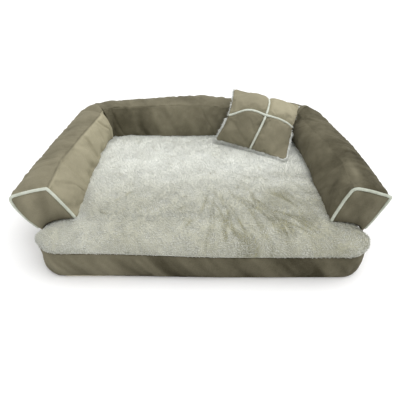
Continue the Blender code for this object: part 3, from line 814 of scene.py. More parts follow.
                along = np.clip(offset @ step / (step @ step), 0, 1)
                apart = np.linalg.norm(offset - along[:, None] * step, axis=1)
                faded = np.sin(math.pi * (number + along) / 7) ** 0.6
                depth = np.maximum(depth, strong * faded * np.exp(-((apart / self.parting_width) ** 2)))
        return depth * (0.75 + 0.45 * value_noise(points, 0.016, 48))

    def outline(self, count: int) -> np.ndarray:
        """Even points round the gusset's line, from the zip's left end by the front to its right."""
        cx, cy = self.half_width - self.back_radius, self.back - self.back_radius
        fx, fy = self.half_width - self.front_radius, self.front + self.front_radius
        turn = np.linspace(0, math.pi / 2, 24)
        back = np.stack([-cx - self.back_radius * np.sin(turn), cy + self.back_radius * np.cos(turn)], axis=1)
        swing = self.front_radius * np.stack([np.cos(turn), np.sin(turn)], axis=1)
        front = [-fx, fy] - swing
        half = np.concatenate([back, front])
        whole = np.concatenate([half, half[::-1] * [-1, 1]])
        path = np.concatenate([whole, np.zeros((len(whole), 1))], axis=1)
        return even_path(path, 2.3 / count)

    def build_band(self) -> bpy.types.Object:
        """The gusset band before its simulation, held along both edges."""
        line = self.outline(420)
        across = np.gradient(line, axis=0)
        out = unit(np.stack([across[:, 1], -across[:, 0], across[:, 2]], axis=1))
        out[:, :2] *= np.sign((out[:, :2] * line[:, :2]).sum(axis=1))[:, None]
        share = np.linspace(0, 1, 15)
        bulge = 0.003 * 4 * share * (1 - share) - 0.0012 * (1 - share) - 0.0022 * smoothstep(share * 8 - 7)
        points = line[:, None] + out[:, None] * bulge[None, :, None]
        points[..., 2] = 0.0008 + (self.seam - 0.0016) * share[None, :]
        points = self.settled(points)
        obj = new_object("gusset_band", points, grid_faces(*points.shape[:2]))
        set_value(obj.data, "share", np.broadcast_to(share, points.shape[:2]))
        pins = np.broadcast_to((share < 0.01) | (share > 0.99), points.shape[:2]).astype(float).copy()
        pins[[0, -1]] = 1.0
        self.shop.take(obj, pins.ravel(), pressure=1.2, slack=0.03, cap=0.005)
        return obj

    def finish_band(self, obj: bpy.types.Object) -> None:
        """Refine the band, and add the diagonal folds that the pulled fabric shows."""
        refined(obj, 1)
        mesh = obj.data
        points, normals, share = points_of(mesh), normals_of(mesh), value_of(mesh, "share")
        x, y, z = points.T
        slanted = np.stack([x + 0.8 * z, y, z * 0.25], axis=1)
        fold = value_noise(slanted, 0.030, 21) * 0.7 + value_noise(slanted, 0.012, 22) * 0.4
        body = smoothstep(share / 0.2) * smoothstep((1 - share) / 0.12)
        move_points(mesh, points + normals * (0.0011 * fold * body)[:, None])
        # Lighter to the left, partly the suede's nap and partly painted light; painted shade: lighter on the
        # raised folds, darker in their hollows and darker towards the bottom.
        side = smoothstep((-0.05 - x) / 0.25)
        shade = 0.13 + 0.18 * side + 0.16 * np.clip(fold, -1, 1) + 0.05 * (share - 0.5)
        set_value(mesh, "shade", shade)
        walled(obj, SUEDE_WALL)
        dress(obj, self.finishes.fabric(SUEDE), "taupe_suede", BED, "gusset_front_band")


# ------------------------------------------------------------------ bolsters


@dataclass
class Bolster:
    """One bolster's cover: a box section carried along the seat's edge and round its corner."""

    name: str
    seat: SeatCushion
    finishes: Finishes
    shop: ClothShop
    mirror: float = 1.0
    sections: tuple = (
        (0.036, 0.087, 0.214, 0.173, 0.187, 0.083),
        (0.036, 0.085, 0.215, 0.158, 0.190, 0.083),
        (0.034, 0.060, 0.215, 0.140, 0.194, 0.083),
        (0.022, 0.034, 0.214, 0.120, 0.197, 0.082),
        (0.024, 0.044, 0.213, 0.116, 0.197, 0.082),
        (0.027, 0.043, 0.215, 0.129, 0.199, 0.083),
        (0.027, 0.043, 0.220, 0.1452, 0.206, 0.083),
    )
    corner: tuple = (0.277, 0.160)
    arm_front: float = -0.215
    puff: tuple = (0.007, 0.009, 0.010)
    counts: tuple = (19, 16, 18, 13)
    cell: float = 0.0060
    pressure: float = 4.0
    slack: float = 0.045
    cap: float = 0.010
    slack_bow: float = 0.55
    belly: float = 0.006
    blotch: float = 0.05
    # Strength of the painted highlight band on the shoulder near the arm's front.
    painted_highlight: float = 0.0
    soft_ridge: bool = False
    # Shade of the inner, top and outer panels: partly the suede's nap, partly painted light and shade as it
    # falls on each side.
    shades: tuple = (0.5, 0.4, 0.3)
    # Painted light that grows along the cover, for each panel.
    painted_light_along: tuple = (0.0, 0.0, 0.0)
    pucker: float = 0.0016
    skirt: float = 0.0092
    overhang: float = 0.0012
    spread: float = 0.0
    bulge: float = 0.0
    ridge_in: float = 0.0
    kick: tuple = (0.0, 0.0)
    end_bow: tuple = (0.30, 0.30, 0.30)
    end_seam: float = 0.0050
    end_set: float = 0.0042
    end_puff: float = 0.0052
    # Shade of the end panel: partly the suede's nap, partly painted light and shade.
    end_shade: float = 0.40
    cord_line: float = 0.0008
    cord_set: float = 0.0034
    # How light the cord is painted: the same piping is painted darker on the right arm, as painted shade.
    cord_shade: float = 0.50
    creases: tuple = (0.0046, 0.0016, 0.0016)

    @property
    def is_arm(self) -> bool:
        """Whether this is an arm and not the back."""
        return self.name != "back"

    def stations(self) -> tuple[np.ndarray, np.ndarray, np.ndarray]:
        """(place on the guide line, outward direction, position in the table of sections)."""
        cx, cy = self.corner
        mitre, gap = math.pi / 4, 0.0006
        turn_steps = 9
        if self.is_arm:
            start = self.arm_front + 0.0078
            y = np.linspace(start, cy, int((cy - start) / self.cell))
            angle = np.linspace(0, mitre - gap, turn_steps)[1:]
            straight = np.stack([np.full(len(y), -cx), y], 1)
            swing = np.stack([-np.cos(angle), np.sin(angle)], 1)
            place = np.concatenate([straight, np.tile([-cx, cy], (len(angle), 1))])
            out = np.concatenate([np.tile([-1.0, 0.0], (len(y), 1)), swing])
            position = np.concatenate([(y - self.arm_front) / (cy - self.arm_front) * 3, 3 + angle / mitre])
            return place, out, position
        angle = np.linspace(mitre + gap, math.pi / 2, turn_steps)
        x = np.linspace(-cx, 0, int(cx / self.cell))[1:]
        place = np.concatenate([np.tile([-cx, cy], (len(angle), 1)), np.stack([x, np.full(len(x), cy)], 1)])
        out = np.concatenate([np.stack([-np.cos(angle), np.sin(angle)], 1), np.tile([0.0, 1.0], (len(x), 1))])
        position = np.concatenate([3 + angle / mitre, 5 + (x + cx) / cx])
        flip = np.array([-1.0, 1.0])
        return (np.concatenate([place, place[-2::-1] * flip]), np.concatenate([out, out[-2::-1] * flip]),
                np.concatenate([position, position[-2::-1]]))

    def seat_edge(self, place: np.ndarray, out: np.ndarray) -> np.ndarray:
        """How far the seat's seam is from the guide line, in each station's direction."""
        seat = self.seat
        past_x = np.abs(place[:, 0]) - (seat.half_width - seat.back_radius)
        past_y = place[:, 1] - (seat.back - seat.back_radius)
        across, along = np.abs(out[:, 0]), out[:, 1]
        dot = past_x * across + past_y * along
        arc = np.sqrt(np.maximum(dot**2 - past_x**2 - past_y**2 + seat.back_radius**2, 0)) - dot
        straight = np.where(past_y <= 0, seat.half_width - np.abs(place[:, 0]), seat.back - place[:, 1])
        return np.where((past_y <= 0) | (past_x <= 0), straight, arc)

    def section_table(self, position: np.ndarray) -> np.ndarray:
        """The section's six numbers at each position, blended along the table."""
        table = np.array(self.sections)
        knots = np.arange(len(table))
        return np.stack([np.interp(position, knots, table[:, k]) for k in range(table.shape[1])], axis=1)

    def rings(self, puffed: float) -> tuple[np.ndarray, np.ndarray, np.ndarray]:
        """Every ring of the cover as (reach, height) points.

        Each panel runs straight from corner to corner, bowed outwards as 4 b s (1 - s).

        Args:
            puffed: how much of the full bow the panels have away from the ends.

        Returns:
            (rings, rows, 2) places, the panel number and the share along it of each column.
        """
        place, out, position = self.stations()
        row = np.arange(len(place))
        from_end = np.minimum(row, row[::-1]) / 4.0
        near_end = smoothstep(from_end)
        edge = self.seat_edge(place, out)
        foot, ridge, ridge_z, shoulder, shoulder_z, outer_z = self.section_table(position).T
        outer_z = outer_z - self.skirt
        shoulder = shoulder + self.spread * np.clip(1 - position / 2.7, 0, 1)
        shoulder = shoulder + self.bulge * np.sin(math.pi * np.clip(position / 3.4, 0, 1))
        ridge = ridge - self.ridge_in * np.clip(1 - position / 1.6, 0, 1)
        foot_z = self.seat.side_height(edge - foot) + 0.0024
        corners = [(foot, foot_z), (ridge, ridge_z), (shoulder, shoulder_z), (edge + self.overhang, outer_z)]
        columns, panels, shares = [], [], []
        for panel in range(3):
            start, end = np.stack(corners[panel], 1), np.stack(corners[panel + 1], 1)
            step = end - start
            normal = unit(np.stack([-step[:, 1], step[:, 0]], 1))
            share = np.linspace(0, 1, self.counts[panel] + 1)[:-1]
            full = np.where(position > 2, 1.7, self.end_bow[panel])
            bow = 4 * self.puff[panel] * (full + (puffed - full) * near_end)[:, None] * share * (1 - share)
            ruled = start[:, None] + step[:, None] * share[None, :, None]
            columns.append(ruled + normal[:, None] * bow[..., None])
            panels.append(np.full(len(share), panel))
            shares.append(share)
        share = np.linspace(0, 1, self.counts[3] + 1)[:-1]
        reach = (edge + self.overhang)[:, None] * (1 - share) + foot[:, None] * share
        rest = self.seat.side_height(np.maximum(edge[:, None] - reach, 0)) + 0.0024
        lift = (outer_z - rest[:, 0])[:, None] * (1 - share) ** 5
        columns.append(np.stack([reach, rest + lift], axis=-1))
        panels.append(np.full(len(share), 3))
        shares.append(share)
        whole, panel, share = np.concatenate(columns, axis=1), np.concatenate(panels), np.concatenate(shares)
        inside = np.where(panel == 0, share, 0.0)
        sag = inside / 0.3 * np.exp(1 - inside / 0.3) * (1 - inside**2)
        if self.is_arm:
            whole[..., 0] -= self.belly * smoothstep((position - 0.15) / 1.2)[:, None] * sag[None, :]
        return self._rounded(whole, from_end), panel, share

    def _rounded(self, rings: np.ndarray, from_end: np.ndarray) -> np.ndarray:
        """Rings whose ridge is melted into a round shoulder, where the bolster has no crisp one.

        Columns near the ridge move to the mean of their neighbours within nine columns, fully at
        the ridge and not at all fourteen columns off, and less towards a sewn end.
        """
        if not self.soft_ridge:
            return rings
        column = np.arange(rings.shape[1])
        near = smoothstep(1 - np.abs(column - self.counts[0]) / 14)
        mean = np.mean([np.roll(rings, k, axis=1) for k in range(-9, 10)], axis=0)
        share = near[None, :, None] * smoothstep(from_end / 2)[:, None, None]
        return rings * (1 - share) + mean * share

    def placed(self, rings: np.ndarray) -> np.ndarray:
        """Rings of (reach, height) set out along the stations, in the row frame.

        The filling has settled: above the seat, the right rear corner sits lower and the middle
        of the back a little higher.
        """
        place, out, _ = self.stations()
        plan = place[:, None] + out[:, None] * rings[..., :1]
        points = np.concatenate([plan, rings[..., 1:]], axis=-1)
        points[..., 0] *= self.mirror
        x, y, z = points[..., 0], points[..., 1], points[..., 2]
        above = np.clip((z - 0.118) / 0.080, 0, 1)
        right_rear = smoothstep((x - 0.03) / 0.17) * smoothstep((y + 0.02) / 0.16)
        middle = np.exp(-(((x + 0.06) / 0.12) ** 2)) * smoothstep((y - 0.15) / 0.05)
        points[..., 2] += above * (0.0045 * middle - 0.0075 * right_rear)
        points[..., 1] -= self.kicked(rings) * (1 - smoothstep((y - self.arm_front) / 0.06))
        return points

    def kicked(self, flat: np.ndarray) -> np.ndarray:
        """How far an arm's end comes forward at each (reach, height): nothing at its top."""
        low = np.clip((0.205 - flat[..., 1]) / 0.090, 0, 1)
        inner = np.clip(1 - (flat[..., 0] - 0.036) / 0.092, 0, 1)
        return low * (self.kick[1] + (self.kick[0] - self.kick[1]) * inner)

    def build(self) -> bpy.types.Object:
        """The cover before its simulation, held at its seams, its ends and its underside."""
        rings, panel, share = self.rings(self.slack_bow)
        points = self.placed(rings)
        rows, columns = points.shape[:2]
        faces = tube_faces(rows, columns)
        if self.mirror < 0:
            faces = [face[::-1] for face in faces]
        obj = new_object(f"{self.name}_cover", points, faces)
        keep_ends_crisp(obj.data, rows, columns)
        step = np.linalg.norm(np.diff(np.concatenate([points, points[:, :1]], axis=1), axis=1), axis=2)
        reach = np.stack([step[:, panel == number].sum(axis=1) for number in range(4)], axis=1)[:, panel]
        station = np.linalg.norm(np.gradient(points.mean(axis=1), axis=0), axis=1).cumsum()
        for name, values in {
            "panel": panel, "across": share, "along": np.linspace(0, 1, rows)[:, None],
            "gap": reach * np.minimum(share, 1 - share), "girth": reach * share,
            "station": station[:, None],
        }.items():
            set_value(obj.data, name, np.broadcast_to(values, (rows, columns)))
        seam = share < 1e-6
        ridge = seam & (panel == 1)
        held = (seam | (panel == 3)).astype(float)
        if self.soft_ridge:
            held[ridge] = 0.0
        pins = np.tile(held, (rows, 1))
        pins[[0, -1]] = 1.0
        self.shop.take(obj, pins.ravel(), self.pressure, self.slack, self.cap)
        return obj

    def finish(self, obj: bpy.types.Object) -> None:
        """Refine the cover, press its seams in, lay its folds and paint its tone: nap blotches, with painted
        light and shade by panel, along the cover, in the folds and along the seams, and a painted highlight
        band.
        """
        refined(obj, 2)
        mesh = obj.data
        points, normals = points_of(mesh), normals_of(mesh)
        panel, across, along = (value_of(mesh, name) for name in ("panel", "across", "along"))
        top_side = np.clip(3 - panel, 0, 1)
        gap, number = value_of(mesh, "gap"), np.round(panel)
        length = value_of(mesh, "station")
        girth = value_of(mesh, "girth")
        sway = 0.012 * value_noise(points, 0.05, 30)
        slant = np.stack([length + 0.40 * girth + sway, number * 0.31, girth * 0.30], axis=1)
        fold = 0.8 * value_noise(slant, 0.042, 31) + 0.5 * value_noise(slant, 0.019, 34)
        fold += 0.3 * layered_noise(points, 0.030, 38)
        fold -= 0.8 * np.exp(-((value_noise(slant, 0.070, 39) / 0.14) ** 2)) * smoothstep(gap / 0.02)
        crimp = value_noise(np.stack([length, number * 0.4, gap * 0.25], axis=1), 0.0105, 36)
        crimp += 0.8 * value_noise(np.stack([length, number * 0.4, gap * 0.30], axis=1), 0.0240, 37)
        seam = self.pucker * crimp * np.exp(-gap / 0.020) * smoothstep(gap / 0.004)
        gather = value_noise(np.stack([girth, number * 0.37, length * 0.2], axis=1), 0.0115, 45)
        if self.is_arm:
            seam += 0.0016 * gather * np.exp(-length / 0.022) * smoothstep(length / 0.005)
        line = np.exp(-((gap / 0.0026) ** 2))
        if self.soft_ridge:
            line *= np.abs(panel + across - 1.0) > 0.5
        if not self.is_arm:
            crisp = smoothstep((0.02 - points[:, 0]) / 0.12)
            line = np.where(np.abs(panel + across - 1.0) > 0.5, line, line * crisp)
        seam -= 0.0020 * line
        body = smoothstep(gap / 0.012)
        depth = np.interp(panel, (0, 1, 2, 3), (*self.creases, 0.0))
        move_points(mesh, points + normals * ((depth * fold * body + seam) * top_side)[:, None])
        # Shade by panel: partly the suede's nap, partly painted light and shade.
        tone = np.interp(panel, (0, 1, 2, 3), (*self.shades, 0.1))
        if self.soft_ridge:
            inner, upper, outer = self.shades
            blended = np.interp(panel + across, (0.2, 1.8, 2.4, 3.0), (inner, upper, outer, outer))
            tone = np.where(panel + across < 2.9, blended, tone)
        # Painted light: lighter along the cover, towards each arm's back corner and towards the back's right
        # end.
        tone += along * np.interp(panel, (0, 1, 2, 3), (*self.painted_light_along, 0.0))
        tone += self.blotch * layered_noise(points * [1.0, 1.0, 0.5], 0.06, 41)
        tone += self.blotch * 0.4 * value_noise(points, 0.012, 43)
        # Painted highlight: a light band on the shoulder near the front.
        highlight_band = np.exp(-(((panel + across - 1.22) / 0.13) ** 2)) * np.exp(-(((length - 0.075) / 0.035) ** 2))
        # Adds the painted highlight band, painted shade in the fold hollows and painted shade along the
        # pressed-in seams.
        tone += self.painted_highlight * highlight_band + 0.06 * fold - 0.09 * line
        set_value(mesh, "shade", tone)
        nodes = [f"{self.name}_{side}_panel" for side in ("inner", "top", "outer", "under")]
        dress(obj, self.finishes.fabric(SUEDE), "taupe_suede", BED, *nodes, f"{self.name}_filling")

    # -------- the arms' ends

    def end_outline(self, inset: float) -> list[np.ndarray]:
        """The end section's four sides as (reach, height) rows, moved in by inset."""
        rings, panel, _ = self.rings(self.slack_bow)
        first = rings[0]
        after, before = np.roll(first, -1, axis=0), np.roll(first, 1, axis=0)
        along = after - before
        normal = unit(np.stack([along[:, 1], -along[:, 0]], 1))
        moved = first + normal * inset
        sides = []
        for number in range(4):
            chosen = moved[panel == number]
            following = moved[panel == (number + 1) % 4][:1]
            sides.append(np.concatenate([chosen, following]))
        return sides

    def at_end(self, flat: np.ndarray, y: np.ndarray) -> np.ndarray:
        """(reach, height) points put on the arm's front end at depth y."""
        x = self.mirror * -(self.corner[0] + flat[..., 0])
        return joined(x, y - self.kicked(flat), flat[..., 1])

    def build_end(self) -> None:
        """The arm's end: its panel, and the cord round three of its sides."""
        self._end_panel()
        self._end_cord()

    def _end_panel(self) -> None:
        """The end panel, a patch between its four sides, puffed out and closed with a wall."""
        count = 40
        u = np.linspace(0, 1, count)

        def even(side: np.ndarray) -> np.ndarray:
            """A side resampled at even shares of its length."""
            run = run_along(side)
            return np.stack([np.interp(u * run[-1], run, side[:, k]) for k in range(2)], axis=1)

        inner, top, outer, under = (even(side) for side in self.end_outline(self.end_seam))
        outer, under = outer[::-1], under[::-1]
        s, t = u[:, None, None], u[None, :, None]
        ruled = (1 - t) * inner[:, None] + t * outer[:, None] + (1 - s) * under[None] + s * top[None]
        low = (1 - t) * inner[0] + t * outer[0]
        high = (1 - t) * inner[-1] + t * outer[-1]
        patch = ruled - (1 - s) * low - s * high
        a, b = 2 * u[:, None] - 1, 2 * u[None, :] - 1
        dome = ((1 - a**4) * (1 - b**4)) ** 0.7
        flat = np.concatenate([patch.reshape(-1, 2), np.zeros((count * count, 1))], axis=1)
        fold = layered_noise(flat * [1.0, 0.6, 1.0], 0.035, 51 + int(self.mirror)).reshape(count, count)
        depth = self.arm_front + self.end_set - (self.end_puff + 0.0013 * fold) * dome
        points = self.at_end(patch, depth)
        faces = grid_faces(count, count)
        if self.mirror > 0:
            faces = faces[:, ::-1]
        obj = new_object(f"{self.name}_end", points, faces)
        # Painted shade: lighter on the raised folds, darker in their hollows; painted light: lighter towards
        # the top.
        shade = self.end_shade + 0.10 * fold + 0.06 * a
        set_value(obj.data, "shade", np.broadcast_to(shade, (count, count)))
        walled(refined(obj, 1), SUEDE_WALL)
        dress(obj, self.finishes.fabric(SUEDE), "taupe_suede", BED, f"{self.name}_end_panel")

    def _end_cord(self) -> None:
        """The cord up the inner side, over the top and down the outer side.

        One of its two upper corners is soft: a mean over five points cuts it.
        """
        inner, top, outer, _ = self.end_outline(self.cord_line)
        route = np.concatenate([inner[1:], top[1:], outer[1:-2]])
        soft = len(inner) - 1 + (len(top) - 1 if self.mirror > 0 else 0)
        mean = np.mean([np.roll(route, k, axis=0) for k in range(-2, 3)], axis=0)
        near = np.clip(1.5 - np.abs(np.arange(len(route)) - soft + 1) / 3, 0, 1)[:, None]
        route = route * (1 - near) + mean * near
        back_by = 0.0026 * smoothstep((np.arange(len(route)) - len(inner) - len(top)) / 5)
        path = self.at_end(route, self.arm_front + self.cord_set + back_by)
        path = even_path(path, 0.0011, rounds=2)
        path += 0.0005 * np.stack([value_noise(path, 0.02, 61 + k) for k in range(3)], axis=1)
        cord = round_cord(f"{self.name}_cord", path, CORD_RADIUS, 14, ripple=0.00022)
        # Painted light and shade: the cord's lightness is set per arm.
        set_value(cord.data, "shade", self.cord_shade + 0.2 * value_noise(points_of(cord.data), 0.006, 64))
        dress(cord, self.finishes.fabric(CORD), "cream_piping", BED, f"{self.name}_piping")


@dataclass
class BackOpening:
    """The zipped opening across the back of the gusset: strips, coils and stitches."""

    finishes: Finishes
    face: float = 0.285
    height: float = 0.037
    half_length: float = 0.205
    strip_half: float = 0.2335
    pitch: float = 0.0016
    wire: float = 0.00034

    def build(self) -> None:
        """Make both strips, both coils and the stitch rows."""
        for level, low, high in (("lower", 0.0008, 0.0323), ("upper", 0.0417, 0.0722)):
            self._strip(level, low, high)
            self._coil(level)
        self._stitches()
        self._label()

    def _label(self) -> None:
        """A blank satin label sewn on by its top edge: it curls out as 3.5 mm times t squared."""
        low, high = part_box("care_label")
        x, t = np.meshgrid(np.linspace(low[0], high[0], 40), np.linspace(0, 1, 26), indexing="ij")
        rim = np.minimum(np.minimum(x - low[0], high[0] - x), 0.025 * np.minimum(t, 1 - t))
        hem = 0.0003 * (1 - smoothstep((rim - 0.0016) / 0.0008))
        curl = 0.0035 * t**2 + 0.0006 * np.sin((x - low[0]) * 160) * t
        y = self.face + 0.0024 + curl + hem
        points = np.stack([x, y, high[2] - (high[2] - low[2]) * t], axis=-1)
        faces = grid_faces(40, 26)
        obj = new_object("blank_care_label", points, faces)
        set_value(obj.data, "shade", 0.75 - 900 * hem)
        walled(obj, 0.0004)
        dress(obj, self.finishes.fabric(SATIN), "label_satin", BED, "care_label")

    def _strip(self, level: str, low: float, high: float) -> None:
        """A strip of suede, bowed out by 2.2 mm as 4 s (1 - s), its hem rolled in at the zip."""
        x = np.linspace(-self.strip_half, self.strip_half, 150)
        share = np.linspace(0, 1, 18)
        hem = share if level == "upper" else 1 - share
        along, up = np.meshgrid(x, share, indexing="ij")
        flat = np.stack([along.ravel() + up.ravel() * 0.02, up.ravel() * 0.02, up.ravel() * 0], axis=1)
        fold = layered_noise(flat, 0.030, 91 if level == "upper" else 92).reshape(along.shape)
        free = smoothstep(np.minimum(up, 1 - up) * 5) * smoothstep((self.strip_half - np.abs(along)) / 0.02)
        bow = 0.0022 * 4 * up * (1 - up) * free + 0.0007 * fold * free
        roll = 0.0016 * (1 - smoothstep(hem * 9))[None, :]
        sew = 0.0006 * np.exp(-(((hem - 0.16) / 0.03) ** 2))[None, :]
        points = np.stack([along, self.face - 0.0002 + bow - roll - sew, low + (high - low) * up], axis=-1)
        faces = grid_faces(len(x), len(share))[:, ::-1]
        obj = new_object(f"gusset_back_{level}", points, faces)
        # Painted shade: lighter on the raised folds, darker in their hollows.
        set_value(obj.data, "shade", 0.26 + 0.14 * fold)
        walled(refined(obj, 1), 0.0013)
        dress(obj, self.finishes.fabric(SUEDE), "taupe_suede", BED, f"gusset_back_{level}_strip")

    def _coil(self, level: str) -> None:
        """A nylon coil: a flattened helix, 1.6 mm from loop to loop, set half a loop from its twin."""
        sign = 1.0 if level == "upper" else -1.0
        turns = 2 * self.half_length / self.pitch
        turn = np.linspace(0, turns, int(turns * 9)) * 2 * math.pi
        x = -self.half_length + turn / (2 * math.pi) * self.pitch + (self.pitch / 2 if sign > 0 else 0)
        path = np.stack([x, self.face - 0.0006 + 0.0007 * np.sin(turn),
                         self.height + sign * (0.0016 + 0.0014 * np.cos(turn))], axis=1)
        obj = round_cord(f"zip_coil_loops_{level}", path, self.wire, 5)
        dress(obj, self.finishes.solid(COIL), "zip_coil", BED, f"zip_coil_{level}")

    def _stitches(self) -> None:
        """Rows of thread along both hems: spindles 3.2 mm long, with five sides."""
        step = 0.0046
        x = np.arange(-self.strip_half + 0.008, self.strip_half - 0.008, step)
        rows = [self.height - 0.0097, self.height + 0.0096]
        centres = np.array([[a, self.face + 0.0012, z] for z in rows for a in x])
        run, wide = np.array([-1.6, -0.9, 0.9, 1.6]) / 1000, np.array([0.0001, 0.0003, 0.0003, 0.0001])
        turn = np.arange(5) * 2 * math.pi / 5
        wide = wide[:, None]
        ring = joined(run[:, None], wide * np.cos(turn), wide * np.sin(turn)).reshape(-1, 3)
        obj = repeated("zip_hem_stitches", ring, tube_faces(4, 5), centres)
        set_value(obj.data, "shade", np.full(len(obj.data.vertices), 0.45))
        dress(obj, self.finishes.fabric(SUEDE), "taupe_suede", BED)


@dataclass
class GripBase:
    """The underside: a canvas panel with raised grip dots."""

    seat: SeatCushion
    finishes: Finishes
    pitch: float = 0.019
    dot: float = 0.0032
    inset: float = 0.003

    def build(self) -> None:
        """Make the canvas and its dots, which reach the floor 0.7 mm below it."""
        seat = self.seat
        whole = SeatCushion(self.finishes, seat.shop, half_width=seat.half_width - self.inset,
                            front=seat.front + self.inset, back=seat.back - self.inset, spare=0.0)
        flat = whole.flat_points(60, 80)
        middle = (seat.front + seat.back) / 2
        points = np.stack([flat[..., 0], flat[..., 1] + middle, np.full(flat.shape[:2], 0.0020)], axis=-1)
        points[..., 1] = seat.settled(points)[..., 1]
        faces = grid_faces(60, 80)[:, ::-1]
        obj = new_object("grip_canvas_panel", points, faces)
        walled(obj, 0.0013)
        dress(obj, self.finishes.fabric(CANVAS), "grip_canvas", BED, "nonskid_bottom_panel")
        self._dots(points)

    def _dots(self, panel: np.ndarray) -> None:
        """Flattened domes on a staggered grid, each of two rings of eight points and a middle."""
        columns = np.arange(-0.39, 0.39, self.pitch)
        rows = np.arange(-0.29, 0.27, self.pitch * 0.87)
        y, x = np.meshgrid(rows, columns, indexing="ij")
        x = x + (np.arange(len(rows)) % 2)[:, None] * self.pitch / 2
        centres = np.stack([x.ravel(), y.ravel()], axis=1)
        seat = self.seat
        radius = seat.back_radius
        corner = np.maximum(np.abs(centres - [0, seat.back - radius]) - [seat.half_width - radius, 0], 0)
        corner[centres[:, 1] < seat.back - radius, 1] = 0
        inside = np.hypot(corner[:, 0], corner[:, 1]) < radius - 0.012
        front = (centres[:, 1] > seat.front + 0.012) & (np.abs(centres[:, 0]) < seat.half_width - 0.012)
        nose = (np.abs(centres[:, 0]) > seat.half_width - 0.05) & (centres[:, 1] < seat.front + 0.05)
        centres = centres[inside & front & ~nose]
        turn = np.arange(8) * math.pi / 4
        ring = np.stack([np.cos(turn), np.sin(turn)], axis=1) * self.dot
        one = np.concatenate([
            np.column_stack([ring, np.full(8, 0.0009)]), np.column_stack([ring * 0.75, np.full(8, 0.0002)]),
            [[0, 0, 0.0]]])
        sides = [(k, 8 + k, 8 + (k + 1) % 8, (k + 1) % 8) for k in range(8)]
        tips = [(8 + k, 16, 8 + (k + 1) % 8) for k in range(8)]
        spots = np.column_stack([centres, np.zeros(len(centres))])
        obj = repeated("grip_dots", one, [*sides, *tips, tuple(range(8))], spots)
        dress(obj, self.finishes.fabric(CANVAS), "grip_canvas", BED)


# ------------------------------------------------------------------ toss pillow


